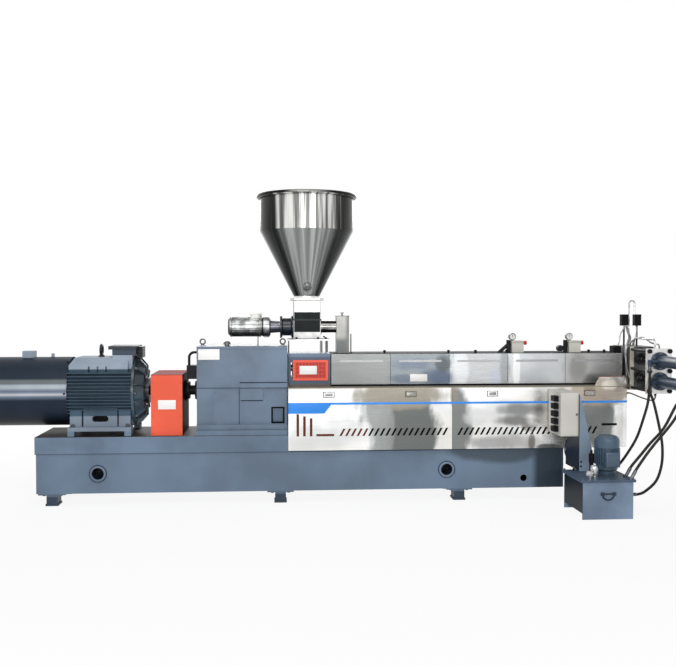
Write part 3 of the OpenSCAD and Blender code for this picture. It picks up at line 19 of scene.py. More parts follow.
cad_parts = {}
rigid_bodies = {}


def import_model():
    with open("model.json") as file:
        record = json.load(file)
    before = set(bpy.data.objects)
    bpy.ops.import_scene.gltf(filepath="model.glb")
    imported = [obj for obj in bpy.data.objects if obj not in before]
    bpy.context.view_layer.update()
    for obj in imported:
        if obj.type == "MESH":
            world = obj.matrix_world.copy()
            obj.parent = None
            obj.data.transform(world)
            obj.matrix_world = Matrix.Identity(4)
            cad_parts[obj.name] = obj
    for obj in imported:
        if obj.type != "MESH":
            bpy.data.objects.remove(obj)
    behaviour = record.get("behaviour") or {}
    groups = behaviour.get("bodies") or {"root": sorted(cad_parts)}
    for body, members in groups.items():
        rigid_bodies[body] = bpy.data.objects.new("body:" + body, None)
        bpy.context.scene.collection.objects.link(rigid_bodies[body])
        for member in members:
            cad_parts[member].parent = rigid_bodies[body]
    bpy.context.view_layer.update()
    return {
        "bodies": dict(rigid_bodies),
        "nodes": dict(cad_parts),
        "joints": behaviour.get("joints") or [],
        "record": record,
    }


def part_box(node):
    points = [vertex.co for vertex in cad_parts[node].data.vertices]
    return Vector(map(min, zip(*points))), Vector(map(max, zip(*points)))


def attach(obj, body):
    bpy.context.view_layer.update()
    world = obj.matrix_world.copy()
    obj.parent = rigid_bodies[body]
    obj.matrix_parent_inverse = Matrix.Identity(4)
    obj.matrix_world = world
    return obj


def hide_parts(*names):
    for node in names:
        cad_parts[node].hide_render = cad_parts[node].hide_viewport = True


LOG = logging.getLogger("extruder")
MM = 0.001
Point = tuple[float, float, float]
Colour = tuple[float, float, float]
Box = tuple[Point, Point]
Profile = Sequence[tuple[float, float]]
Value = Union["Sock", float, int, Sequence[float]]
RIGHT: Point = (1, 0, 0)
FRONT: Point = (0, -1, 0)
BACK: Point = (0, 1, 0)
UP: Point = (0, 0, 1)
DOWN: Point = (0, 0, -1)


def tone(red: float, green: float, blue: float) -> tuple[float, float, float, float]:
    """Turn a display colour into the linear colour that a shader takes.

    Args:
        red: Red from 0 to 255.
        green: Green from 0 to 255.
        blue: Blue from 0 to 255.

    Returns:
        Linear red, green and blue with full alpha.
    """
    linear = []
    for part in (red, green, blue):
        share = part / 255.0
        linear.append(share / 12.92 if share <= 0.04045 else ((share + 0.055) / 1.055) ** 2.4)
    return linear[0], linear[1], linear[2], 1.0


def dim(colour: Colour, share: float) -> Colour:
    """Scale a display colour, kept between 0 and 255."""
    return tuple(min(255.0, max(0.0, part * share)) for part in colour)


class Way(Enum):
    """Direction that a grain, a band or a ring runs in."""

    ALONG_X = "X"
    ALONG_Y = "Y"
    ALONG_Z = "Z"


class Sock:
    """A shader socket that does arithmetic: each operator adds one Math node."""

    def __init__(self, nodes: Nodes, socket: bpy.types.NodeSocket) -> None:
        """Keep the tree and the socket."""
        self.nodes = nodes
        self.socket = socket

    def _math(self, operation: str, first: Value, second: Value = 0.0) -> Sock:
        """Add a Math node on two values."""
        return self.nodes.node("ShaderNodeMath", {"operation": operation}, {0: first, 1: second})

    def __add__(self, other: Value) -> Sock:
        """Sum."""
        return self._math("ADD", self, other)

    def __radd__(self, other: Value) -> Sock:
        """Sum with a number on the left."""
        return self._math("ADD", other, self)

    def __sub__(self, other: Value) -> Sock:
        """Difference."""
        return self._math("SUBTRACT", self, other)

    def __rsub__(self, other: Value) -> Sock:
        """Difference with a number on the left."""
        return self._math("SUBTRACT", other, self)

    def __mul__(self, other: Value) -> Sock:
        """Product."""
        return self._math("MULTIPLY", self, other)

    def __rmul__(self, other: Value) -> Sock:
        """Product with a number on the left."""
        return self._math("MULTIPLY", other, self)

    def __pow__(self, other: Value) -> Sock:
        """Power."""
        return self._math("POWER", self, other)

    def most(self, other: Value) -> Sock:
        """Larger of two values."""
        return self._math("MAXIMUM", self, other)

    def angle(self, east: Value) -> Sock:
        """Angle of an arrow that goes this far north and so far east, in radians."""
        return self._math("ARCTAN2", self, east)

    def cosine(self) -> Sock:
        """Cosine of an angle in radians."""
        return self._math("COSINE", self)


class Nodes:
    """The node tree of a material or a world, and the one way to add to it."""

    def __init__(self, owner: bpy.types.Material | bpy.types.World) -> None:
        """Empty the owner's tree.

        Args:
            owner: Material or world that the tree belongs to.
        """
        owner.use_nodes = True
        self.tree = owner.node_tree
        self.tree.nodes.clear()

    def put(self, socket: bpy.types.NodeSocket, value: Value) -> None:
        """Link a socket or set its value.

        Args:
            socket: Input of a node.
            value: Output to link, or a plain value.
        """
        if isinstance(value, Sock):
            self.tree.links.new(value.socket, socket)
        else:
            socket.default_value = value

    def add(self, kind: str, settings: Mapping[str, object] | None = None,
            inputs: Mapping[Union[int, str], Value] | None = None) -> bpy.types.Node:
        """Add a node.

        Args:
            kind: Node type.
            settings: Properties, set first.
            inputs: Values or links by socket name or number.

        Returns:
            The node.
        """
        made = self.tree.nodes.new(kind)
        for key, value in (settings or {}).items():
            setattr(made, key, value)
        for key, value in (inputs or {}).items():
            self.put(made.inputs[key], value)
        return made

    def node(self, kind: str, settings: Mapping[str, object] | None = None,
             inputs: Mapping[Union[int, str], Value] | None = None, out: Union[int, str] = 0) -> Sock:
        """Add a node and hand back one of its outputs."""
        return Sock(self, self.add(kind, settings, inputs).outputs[out])

    def seen(self) -> Sock:
        """Tell the rays that look from those that light.

        Returns:
            1 for rays of the eye, of mirrors and of glass, and 0 for the rest.
        """
        path = self.add("ShaderNodeLightPath").outputs
        eye, mirror, glass = (Sock(self, path[f"Is {ray} Ray"]) for ray in ("Camera", "Glossy", "Transmission"))
        return eye.most(mirror).most(glass)


class Shade(Nodes):
    """One material's node tree and the few steps that the finishes use."""

    def __init__(self, name: str) -> None:
        """Start a material with a Principled shader.

        Args:
            name: Material name.
        """
        self.material = bpy.data.materials.new(name)
        super().__init__(self.material)
        self.body = self.add("ShaderNodeBsdfPrincipled")
        self.output = self.add("ShaderNodeOutputMaterial", None, {"Surface": Sock(self, self.body.outputs[0])})

    @cached_property
    def coords(self) -> Sock:
        """Object coordinates, in metres of the row frame."""
        return self.node("ShaderNodeTexCoord", out="Object")

    @cached_property
    def axes(self) -> tuple[Sock, Sock, Sock]:
        """Object coordinates as three values."""
        return tuple(Sock(self, out) for out in self.add("ShaderNodeSeparateXYZ", None, {0: self.coords}).outputs)

    def noise(self, scale: float, stretch: Point = (1, 1, 1), detail: float = 3,
              shift: Point = (0, 0, 0), place: Sock | None = None) -> Sock:
        """Soft noise on object coordinates.

        Args:
            scale: Size of the noise, in waves for each metre.
            stretch: Share of the scale along each axis.
            detail: Octaves.
            shift: Where the noise starts.
            place: Other coordinates to read.

        Returns:
            Noise from 0 to 1, around a half.
        """
        spot = self.node("ShaderNodeMapping", None,
                         {"Vector": place or self.coords, "Location": shift, "Scale": stretch})
        return self.node("ShaderNodeTexNoise", None, {"Vector": spot, "Scale": scale, "Detail": detail})

    def step(self, value: Sock, low: float, high: float) -> Sock:
        """Smooth step from 0 at low to 1 at high."""
        return self.node("ShaderNodeMapRange", {"interpolation_type": "SMOOTHSTEP"},
                         {"Value": value, "From Min": low, "From Max": high})

    def mix(self, mask: Value, first: Value, second: Value) -> Sock:
        """Blend two linear colours by a mask."""
        return self.node("ShaderNodeMix", {"data_type": "RGBA"}, {0: mask, 6: first, 7: second}, out=2)

    def blend(self, mask: Value, first: Colour, second: Colour) -> Sock:
        """Blend two display colours by a mask."""
        return self.mix(mask, tone(*first), tone(*second))

    def lay(self, mask: Value, below: Value, colour: Colour) -> Sock:
        """Lay a display colour over a linear one by a mask."""
        return self.mix(mask, below, tone(*colour))

    def bump(self, height: Sock, strength: float, depth: float = 0.0005) -> Sock:
        """Turn a height into a normal."""
        return self.node("ShaderNodeBump", None, {"Strength": strength, "Distance": depth, "Height": height})

    def dress(self, **inputs: Value) -> bpy.types.Material:
        """Set the Principled shader's sockets.

        Args:
            inputs: Values or links by socket name, with underscores for spaces.

        Returns:
            The material.
        """
        for key, value in inputs.items():
            self.put(self.body.inputs[key.replace("_", " ")], value)
        return self.material


@dataclass(frozen=True)
class Band:
    """A part of a surface, between two places along an axis, that has another colour."""

    way: Way
    low: float
    high: float
    colour: Colour
    soft: float = 6
    dull: bool = False

    def mask(self, shade: Shade) -> Sock:
        """Mask the band.

        Args:
            shade: Tree that is worked on.

        Returns:
            1 between the band's edges and 0 past them.
        """
        spot, zero = dict(zip(Way, zip(shade.axes, (DATUM.x0, DATUM.y0, 0.0))))[self.way]
        start, stop, soft = self.low * MM + zero, self.high * MM + zero, self.soft * MM
        return shade.step(spot, start - soft, start + soft) * (1.0 - shade.step(spot, stop - soft, stop + soft))


@dataclass(frozen=True)
class Patch:
    """A soft oval of painted light or shade on an upright surface, such as a reflection on sheet or a shadow on
    paint, by its middle and half sizes.
    """

    x: float
    z: float
    wide: float
    high: float
    colour: Colour
    soft: float = 0.4
    share: float = 1.0
    start: float | None = None

    def mask(self, shade: Shade, wobble: Sock) -> Sock:
        """Mask the patch.

        Args:
            shade: Tree that is worked on.
            wobble: Noise that bends its edge.

        Returns:
            The patch's share inside its oval and 0 outside.
        """
        x, _, z = shade.axes
        across = (x - (self.x * MM + DATUM.x0)) * (1.0 / (self.wide * MM))
        up = (z - self.z * MM) * (1.0 / (self.high * MM))
        reach = across * across + up * up + (wobble - 0.5) * 2.6
        mask = (1.0 - shade.step(reach, 1.0 - self.soft, 1.0 + self.soft)) * self.share
        if self.start is None:
            return mask
        edge = self.start * MM + DATUM.x0
        return mask * shade.step(x, edge - MM, edge + MM)


@dataclass(frozen=True)
class Finish:
    """A finish with a name: its material is made once and shared."""

    name: str

    def material(self) -> bpy.types.Material:
        """Hand back the material, made on the first call."""
        label = f"{self.name}_finish"
        return bpy.data.materials.get(label) or self.make(Shade(label))

    def make(self, shade: Shade) -> bpy.types.Material:
        """Build the nodes; each finish has its own."""
        raise NotImplementedError


def banded(shade: Shade, colour: Sock, bands: Sequence[Band], mottle: Sock) -> Sock:
    """Lay bands of other colours over a colour.

    Args:
        shade: Tree that is worked on.
        colour: Colour below.
        bands: Bands, in machine millimetres.
        mottle: Noise that varies the bands a little.

    Returns:
        The colour with its bands.
    """
    for band in bands:
        mask = band.mask(shade)
        tint = shade.blend(mottle, dim(band.colour, 0.92), dim(band.colour, 1.07))
        colour = shade.mix(mask, colour, tint)
    return colour


def dulled(shade: Shade, bands: Sequence[Band]) -> Sock | float:
    """Mask the bands that have no shine.

    Args:
        shade: Tree that is worked on.
        bands: Bands, in machine millimetres.

    Returns:
        1 inside the dull bands and 0 elsewhere.
    """
    whole: Sock | float = 0.0
    for band in bands:
        if band.dull:
            whole = band.mask(shade).most(whole)
    return whole


def patched(shade: Shade, colour: Sock, patches: Sequence[Patch], wobble: Sock) -> Sock:
    """Lay ovals of painted reflection and painted shadow over a colour.

    Args:
        shade: Tree that is worked on.
        colour: Colour below.
        patches: Patches, in machine millimetres.
        wobble: Noise that bends their edges.

    Returns:
        The colour with its patches.
    """
    for patch in patches:
        colour = shade.lay(patch.mask(shade, wobble), colour, patch.colour)
    return colour


@dataclass(frozen=True)
class Enamel(Finish):
    """Sprayed machine paint: soft patches, fine dust specks and a faint orange peel."""

    colour: Colour = (100, 116, 136)
    rough: float = 0.36
    patch: float = 0.08
    dust: float = 0.18
    gloss: float = 0.36
    bands: tuple[Band, ...] = ()
    # Ovals of painted shadow.
    patches: tuple[Patch, ...] = ()

    def make(self, shade: Shade) -> bpy.types.Material:
        """Build the paint.

        Args:
            shade: New material's tree.

        Returns:
            The material.
        """
        wide = shade.noise(1.9, detail=4)
        patch = shade.step(wide, 0.32, 0.68)
        specks = shade.step(shade.noise(95, detail=2), 0.66, 0.78)
        colour = shade.blend(patch, dim(self.colour, 1.0 - self.patch), dim(self.colour, 1.0 + self.patch))
        colour = patched(shade, colour, self.patches, wide)
        colour = banded(shade, colour, self.bands, patch)
        colour = shade.lay(specks * self.dust, colour, dim(self.colour, 1.35))
        rough = self.rough + (wide - 0.5) * 0.22 + specks * 0.12
        peel = shade.bump(shade.noise(380, detail=1), 0.1, 0.0006)
        return shade.dress(Base_Color=colour, Roughness=rough, Normal=peel, Specular_IOR_Level=self.gloss)


@dataclass(frozen=True)
class Sheet(Finish):
    """Polished stainless sheet: a fine grain one way and broad soft painted reflections, some of them warm."""

    # Tones of the painted reflections: light, dark and a warm tint.
    light: Colour = (236, 236, 234)
    dark: Colour = (176, 176, 174)
    warm: Colour = (214, 206, 192)
    grain: Way = Way.ALONG_X
    reflection_scale: float = 2.2
    rough: float = 0.24
    metal: float = 0.85
    bands: tuple[Band, ...] = ()
    patches: tuple[Patch, ...] = ()
    # Areas of another tone, laid under the patches; on the covers they are painted reflections.
    fields: tuple[Band, ...] = ()

    def make(self, shade: Shade) -> bpy.types.Material:
        """Build the sheet.

        Args:
            shade: New material's tree.

        Returns:
            The material.
        """
        streak = shade.noise(240, tuple(0.015 if way is self.grain else 1.0 for way in Way), 2)
        broad = shade.noise(self.reflection_scale, (1, 1, 1.6))
        warm = shade.noise(self.reflection_scale * 0.7, (1, 1, 1.3), 2, (3.1, 1.7, 5.3))
        ripple = shade.noise(4.6, (1.5, 1, 0.7), 5, (0.4, 2.2, 1.3))
        # The light and dark blotches and the warm tint are painted reflections; the streak noise is the grain.
        colour = shade.blend(shade.step(broad, 0.36, 0.62), self.dark, self.light)
        colour = shade.lay(shade.step(warm, 0.54, 0.7) * 0.7, colour, self.warm)
        colour = banded(shade, colour, self.fields, broad)
        colour = patched(shade, colour, self.patches, ripple)
        colour = banded(shade, colour, self.bands, broad)
        dull = dulled(shade, self.bands)
        rough = self.rough + (streak - 0.5) * 0.16 + (broad - 0.5) * 0.12 + dull * 0.5
        return shade.dress(Base_Color=colour, Metallic=self.metal - dull * self.metal, Roughness=rough,
                           Normal=shade.bump(streak, 0.05, 0.0004), Specular_IOR_Level=0.2)


@dataclass(frozen=True)
class RolledSheet(Finish):
    """Brushed sheet rolled round an upright axis: streaks that run up the sheet, and painted reflections, bright
    towards the front and back and dark at the sides.
    """

    axis: tuple[float, float] = (2013, 0)
    cone_top: float = 2064
    cone_foot: float = 1562
    rim_low: float = 2326
    seam: float = 2
    rough: float = 0.3
    # Bright and dark tones of the painted reflections on wall, cone and rim, and the painted glint at the side
    # edges.
    wall_lit: tuple[Colour, Colour] = ((92, 92, 90), (226, 226, 222))
    wall_shaded: tuple[Colour, Colour] = ((20, 20, 18), (44, 44, 41))
    wall_edge_glint: Colour = (130, 130, 128)
    cone_lit: tuple[Colour, Colour] = ((128, 130, 129), (182, 184, 183))
    cone_shaded: tuple[Colour, Colour] = ((22, 24, 24), (50, 52, 52))
    cone_edge_glint: Colour = (150, 151, 151)
    rim: tuple[Colour, Colour] = ((12, 13, 12), (120, 120, 118))
    foot: Colour = (236, 236, 234)

    def above(self, shade: Shade, height: float) -> Sock:
        """1 above a machine height and 0 below it."""
        return shade.step(shade.axes[2], (height - self.seam) * MM, (height + self.seam) * MM)

    def make(self, shade: Shade) -> bpy.types.Material:
        """Build the sheet: streaks follow the angle round the axis; painted reflections are bright towards the
        front and back and dark at the sides, darker on the cone.

        Args:
            shade: New material's tree.

        Returns:
            The material.
        """
        x, y, z = shade.axes
        angle = (y - (self.axis[1] * MM + DATUM.y0)).angle(x - (self.axis[0] * MM + DATUM.x0))
        spot = shade.node("ShaderNodeCombineXYZ", None, {0: angle, 1: z * 0.08})
        wide = shade.noise(2.4, place=spot)
        streak = shade.noise(9, detail=2, place=spot, shift=(1.7, 0, 0))
        fine = shade.noise(34, place=spot)
        # Facing is 1 at the front and back and -1 at the sides; the painted reflections are bright where it is high
        # and dark where it is low.
        facing = (angle * 2.0).cosine() * -1.0
        # A painted glint along the side edges.
        edge = shade.step(facing * -1.0 + (wide - 0.5) * 0.3, 0.8, 0.97)
        lit = shade.blend(shade.step(streak + (fine - 0.5) * 0.35, 0.36, 0.66), *self.wall_lit)
        dark = shade.blend(shade.step(fine, 0.4, 0.66), *self.wall_shaded)
        wall = shade.mix(shade.step(facing + (streak - 0.5) * 0.6, 0.02, 0.34), dark, lit)
        wall = shade.lay(edge * 0.2, wall, self.wall_edge_glint)
        lit = shade.blend(shade.step(streak, 0.36, 0.66), *self.cone_lit)
        dark = shade.blend(shade.step(fine, 0.4, 0.7), *self.cone_shaded)
        cone = shade.mix(shade.step(facing + (wide - 0.5) * 0.9, -0.1, 0.95), dark, lit)
        cone = shade.lay(edge, cone, self.cone_edge_glint)
        # The rim is painted bright at the front and back and painted dark at the sides.
        rim = shade.blend(shade.step(facing, 0.55, 0.95), *self.rim)
        colour = shade.mix(self.above(shade, self.cone_top), cone, wall)
        colour = shade.mix(self.above(shade, self.rim_low), colour, rim)
        colour = shade.lay(1.0 - self.above(shade, self.cone_foot), colour, self.foot)
        return shade.dress(Base_Color=colour, Metallic=0.8, Roughness=self.rough + (fine - 0.5) * 0.2,
                           Normal=shade.bump(fine, 0.06))


@dataclass(frozen=True)
class BareMetal(Finish):
    """Machined, cast or oiled metal: tool marks, stains and uneven gloss."""

    colour: Colour = (170, 170, 168)
    rough: float = 0.34
    metal: float = 0.9
    stain: float = 0.14
    marks: float = 140
    gloss: float = 0.4
    bands: tuple[Band, ...] = ()

    def make(self, shade: Shade) -> bpy.types.Material:
        """Build the metal.

        Args:
            shade: New material's tree.

        Returns:
            The material.
        """
        wide = shade.noise(14, detail=4)
        fine = shade.noise(self.marks, (1, 0.2, 1), 2)
        patch = shade.step(wide, 0.35, 0.65)
        colour = shade.blend(patch, dim(self.colour, 1.0 - self.stain), dim(self.colour, 1.0 + self.stain))
        colour = banded(shade, colour, self.bands, patch)
        rough = self.rough + (wide - 0.5) * 0.2 + (fine - 0.5) * 0.14
        return shade.dress(Base_Color=colour, Metallic=self.metal, Roughness=rough,
                           Normal=shade.bump(fine, 0.08), Specular_IOR_Level=self.gloss)


@dataclass(frozen=True)
class Moulded(Finish):
    """Moulded plastic or rubber: dull, with a fine grain and a bloom of dust."""

    colour: Colour = (26, 26, 28)
    rough: float = 0.5
    grain: float = 420
    gloss: float = 0.2

    def make(self, shade: Shade) -> bpy.types.Material:
        """Build the plastic.

        Args:
            shade: New material's tree.

        Returns:
            The material.
        """
        cloud = shade.noise(9, detail=4)
        grit = shade.noise(self.grain, detail=1)
        dusty = dim(tuple(part + 34.0 for part in self.colour), 1.0)
        colour = shade.blend(shade.step(cloud, 0.42, 0.75) * 0.16, self.colour, dusty)
        return shade.dress(Base_Color=colour, Roughness=self.rough + (cloud - 0.5) * 0.2,
                           Normal=shade.bump(grit, 0.14), Specular_IOR_Level=self.gloss)


@dataclass(frozen=True)
class Datum:
    """Where the machine's own zero lies in the row frame, in metres."""

    x0: float = 0.0
    y0: float = 0.0

    def at(self, place: Point) -> Vector:
        """Turn a machine place in millimetres into the row frame."""
        return Vector((place[0] * MM + self.x0, place[1] * MM + self.y0, place[2] * MM))


DATUM = Datum()


def smooth_line(route: Sequence[Point], spans: int) -> list[Vector]:
    """Run a smooth line through a route.

    Args:
        route: Machine places that the line passes.
        spans: Steps between two places.

    Returns:
        Points in the row frame, each span cut into equal steps.
    """
    dots = [DATUM.at(place) for place in route]
    dots = [2.0 * dots[0] - dots[1], *dots, 2.0 * dots[-1] - dots[-2]]
    run = []
    for i in range(1, len(dots) - 2):
        before, start, stop, after = dots[i - 1:i + 3]
        for k in range(spans):
            t = k / spans
            run.append(0.5 * (2.0 * start + (stop - before) * t
                              + (2.0 * before - 5.0 * start + 4.0 * stop - after) * t ** 2
                              + (3.0 * start - before - 3.0 * stop + after) * t ** 3))
    run.append(dots[-2])
    return run


def steps(places: Sequence[Point]) -> list[Point]:
    """Shifts from the first of some places to each of the others."""
    return [tuple(there - here for here, there in zip(places[0], place)) for place in places[1:]]


class Bench:
    """Modelling steps by hand tools, on one piece at a time."""

    def clear(self) -> None:
        """Leave edit mode and deselect all."""
        if bpy.context.mode != "OBJECT":
            bpy.ops.object.mode_set(mode="OBJECT")
        bpy.ops.object.select_all(action="DESELECT")

    def take(self, piece: bpy.types.Object) -> bpy.types.Object:
        """Select a piece alone and make it active.

        Args:
            piece: Piece to work on.

        Returns:
            The piece.
        """
        self.clear()
        piece.select_set(True)
        bpy.context.view_layer.objects.active = piece
        return piece

    def new(self, name: str, data: bpy.types.ID) -> bpy.types.Object:
        """Put new data into the scene as the active piece.

        Args:
            name: Piece name.
            data: Its mesh or curve.

        Returns:
            The piece.
        """
        piece = bpy.data.objects.new(name, data)
        bpy.context.scene.collection.objects.link(piece)
        return self.take(piece)

    def twin(self, piece: bpy.types.Object) -> bpy.types.Object:
        """Copy a piece.

        Args:
            piece: Piece to copy.

        Returns:
            The copy, with a mesh of its own.
        """
        twin = piece.copy()
        twin.data = piece.data.copy()
        bpy.context.scene.collection.objects.link(twin)
        return twin

    def rooted(self, name: str) -> bpy.types.Object:
        """Name the new primitive and put its place into its mesh.

        Args:
            name: Piece name.

        Returns:
            The piece, at the origin.
        """
        piece = bpy.context.object
        piece.name = name
        piece.data.name = name
        bpy.ops.object.transform_apply(location=True, rotation=True, scale=True)
        return piece

    def open(self) -> None:
        """Open the active piece in edit mode with all of it selected."""
        bpy.ops.object.mode_set(mode="EDIT")
        bpy.ops.mesh.select_all(action="SELECT")

    def bare(self, kind: str) -> None:
        """Leave nothing selected on the active piece.

        Args:
            kind: What is picked next, FACE or VERT.
        """
        bpy.ops.object.mode_set(mode="EDIT")
        bpy.ops.mesh.select_mode(type=kind)
        bpy.ops.mesh.select_all(action="DESELECT")
        bpy.ops.object.mode_set(mode="OBJECT")

    def pick(self, piece: bpy.types.Object, test: Callable[[Vector, Vector], bool]) -> None:
        """Open the active piece in edit mode with the faces selected that pass a test.

        Args:
            piece: The active piece.
            test: Takes a face's middle, in metres, and its normal.
        """
        self.bare("FACE")
        for face in piece.data.polygons:
            face.select = test(face.center, face.normal)
        bpy.ops.object.mode_set(mode="EDIT")

    def lean(self, piece: bpy.types.Object, test: Callable[[Vector], bool], along: float) -> bpy.types.Object:
        """Push the dots of the active piece that pass a test along x.

        Args:
            piece: The active piece.
            test: Takes a dot's place, in metres.
            along: Length of the push.

        Returns:
            The piece.
        """
        self.bare("VERT")
        for dot in piece.data.vertices:
            dot.select = test(dot.co)
        bpy.ops.object.mode_set(mode="EDIT")
        bpy.ops.transform.translate(value=(along * MM, 0.0, 0.0))
        bpy.ops.object.mode_set(mode="OBJECT")
        return piece

    def smooth(self, piece: bpy.types.Object, degrees: float = 32.0) -> bpy.types.Object:
        """Leave edit mode and shade the piece smooth below an angle.

        Args:
            piece: Piece to shade.
            degrees: Angle from which an edge stays sharp.

        Returns:
            The piece.
        """
        self.take(piece)
        bpy.ops.object.shade_smooth_by_angle(angle=math.radians(degrees))
        return piece

    def block(self, name: str, low: Point, high: Point, bevel: float = 2) -> bpy.types.Object:
        """Make a block with rounded edges between two machine corners.

        Args:
            name: Piece name.
            low: Lowest corner.
            high: Highest corner.
            bevel: Edge radius.

        Returns:
            The block.
        """
        self.clear()
        start, stop = DATUM.at(low), DATUM.at(high)
        bpy.ops.mesh.primitive_cube_add(size=1.0, location=(start + stop) / 2.0, scale=stop - start)
        piece = self.rooted(name)
        self.open()
        bpy.ops.mesh.bevel(offset=bevel * MM, segments=2, affect="EDGES")
        return self.smooth(piece)

    def panel(self, name: str, low: Point, high: Point, rim: float, sink: float,
              bevel: float = 1) -> bpy.types.Object:
        """Make a block whose operator-side face is inset and sunk, as a tray or a lid.

        Args:
            name: Piece name.
            low: Lowest corner.
            high: Highest corner.
            rim: Width of the border.
            sink: Depth of the middle, less than zero to stand proud.
            bevel: Edge radius of the block.

        Returns:
            The panel.
        """
        piece = self.block(name, low, high, bevel)
        self.pick(piece, lambda middle, normal: normal.y < -0.99)
        bpy.ops.mesh.inset(thickness=rim * MM, depth=0.0)
        bpy.ops.mesh.inset(thickness=abs(sink) * MM * 0.6, depth=-sink * MM)
        return self.smooth(piece)

    def border(self, name: str, low: Point, high: Point, width: float) -> bpy.types.Object:
        """Make an upright picture frame between two machine corners.

        Args:
            name: Piece name.
            low: Lowest corner.
            high: Highest corner.
            width: Width of the frame's bars.

        Returns:
            The frame.
        """
        self.clear()
        start, stop = DATUM.at(low), DATUM.at(high)
        middle = (start + stop) / 2.0
        bpy.ops.mesh.primitive_plane_add(size=1.0, location=(middle.x, stop.y, middle.z),
                                         rotation=(math.pi / 2.0, 0.0, 0.0))
        bpy.context.object.scale = (stop.x - start.x, stop.z - start.z, 1.0)
        piece = self.rooted(name)
        self.pick(piece, lambda middle, normal: True)
        bpy.ops.mesh.inset(thickness=width * MM, depth=0.0)
        bpy.ops.mesh.delete(type="FACE")
        bpy.ops.mesh.select_all(action="SELECT")
        bpy.ops.mesh.extrude_region_move(TRANSFORM_OT_translate={"value": (0.0, start.y - stop.y, 0.0)})
        bpy.ops.mesh.select_all(action="SELECT")
        bpy.ops.mesh.normals_make_consistent(inside=False)
        return self.smooth(piece)

    def turned(self, name: str, profile: Profile, foot: Point, aim: Point, faces: int = 28) -> bpy.types.Object:
        """Turn a profile round a line, as on a lathe.

        Args:
            name: Piece name.
            profile: Radius and height pairs along the outline, in millimetres, from axis to axis.
            foot: Machine place of height zero.
            aim: Direction of the axis.
            faces: Faces round the piece.

        Returns:
            The turned piece.
        """
        mesh = bpy.data.meshes.new(name)
        dots = [(radius * MM, 0.0, height * MM) for radius, height in profile]
        mesh.from_pydata(dots, [(i, i + 1) for i in range(len(dots) - 1)], [])
        piece = self.new(name, mesh)
        self.open()
        bpy.ops.mesh.spin(steps=faces, angle=2.0 * math.pi, center=(0.0, 0.0, 0.0), axis=UP)
        bpy.ops.mesh.select_all(action="SELECT")
        bpy.ops.mesh.remove_doubles(threshold=0.00002)
        bpy.ops.mesh.dissolve_degenerate(threshold=0.00001)
        bpy.ops.mesh.normals_make_consistent(inside=False)
        bpy.ops.object.mode_set(mode="OBJECT")
        turn = Vector(UP).rotation_difference(Vector(aim).normalized())
        piece.matrix_world = Matrix.Translation(DATUM.at(foot)) @ turn.to_matrix().to_4x4()
        bpy.ops.object.transform_apply(location=True, rotation=True, scale=True)
        return self.smooth(piece)

    def bolt(self, name: str, foot: Point, aim: Point, across: float) -> bpy.types.Object:
        """Make a hexagon head on a washer.

        Args:
            name: Piece name.
            foot: Machine place of the washer's underside.
            aim: Direction that the head points in.
            across: Size over the corners, which sets the other sizes.

        Returns:
            The bolt head.
        """
        high, washer, wide = across * 0.55, across * 0.1, across * 0.62
        self.clear()
        way = Vector(aim).normalized()
        turn = Vector(UP).rotation_difference(way)
        middle = DATUM.at(foot) + turn @ Vector((0.0, 0.0, (washer + high / 2.0) * MM))
        bpy.ops.mesh.primitive_cylinder_add(vertices=6, radius=across * 0.5 * MM, depth=high * MM,
                                            location=middle, rotation=turn.to_euler())
        head = self.rooted(name)
        self.pick(head, lambda spot, normal: normal.dot(way) > 0.9)
        bpy.ops.mesh.inset(thickness=across * 0.07 * MM, depth=across * 0.05 * MM)
        self.smooth(head, 20.0)
        outline = [(0, 0), (wide, 0), (wide, washer * 0.7), (across * 0.56, washer), (0, washer)]
        return self.join(name, [head, self.turned(name + "_washer", outline, foot, aim, 18)])

    def copies(self, piece: bpy.types.Object, shifts: Iterable[Point]) -> bpy.types.Object:
        """Copy a piece to other places, each copy with its own mesh, and join the row.

        Args:
            piece: The modelled piece, kept in its place.
            shifts: Machine shifts of the copies.

        Returns:
            The joined row.
        """
        row = [piece]
        for shift in shifts:
            row.append(self.twin(piece))
            row[-1].data.transform(Matrix.Translation(Vector(shift) * MM))
        return self.join(piece.name, row)

    def wheel(self, piece: bpy.types.Object, middle: Point, axis: Way, count: int) -> bpy.types.Object:
        """Copy a piece round a line, each copy with its own mesh, and join the ring.

        Args:
            piece: The modelled piece, kept in its place.
            middle: Machine place on the line.
            axis: Direction of the line.
            count: Pieces in the ring.

        Returns:
            The joined ring.
        """
        ring = [piece]
        for k in range(1, count):
            ring.append(self.take(self.twin(piece)))
            bpy.ops.transform.rotate(value=2.0 * math.pi * k / count, orient_axis=axis.value,
                                     orient_type="GLOBAL", center_override=DATUM.at(middle))
            bpy.ops.object.transform_apply(location=True, rotation=True, scale=True)
        return self.join(piece.name, ring)

    def tube(self, name: str, run: Sequence[Vector], radius: float, fine: int) -> bpy.types.Object:
        """Lay a round curve with closed ends along a line.

        Args:
            name: Piece name.
            run: Points of the line, in the row frame.
            radius: Radius of the tube.
            fine: Fineness of its section.

        Returns:
            The curve, active.
        """
        data = bpy.data.curves.new(name, "CURVE")
        data.dimensions = "3D"
        spline = data.splines.new("POLY")
        spline.points.add(len(run) - 1)
        for dot, place in zip(spline.points, run):
            dot.co = (*place, 1.0)
        spline.use_smooth = True
        data.bevel_depth = radius * MM
        data.bevel_resolution = fine
        data.use_fill_caps = True
        return self.new(name, data)

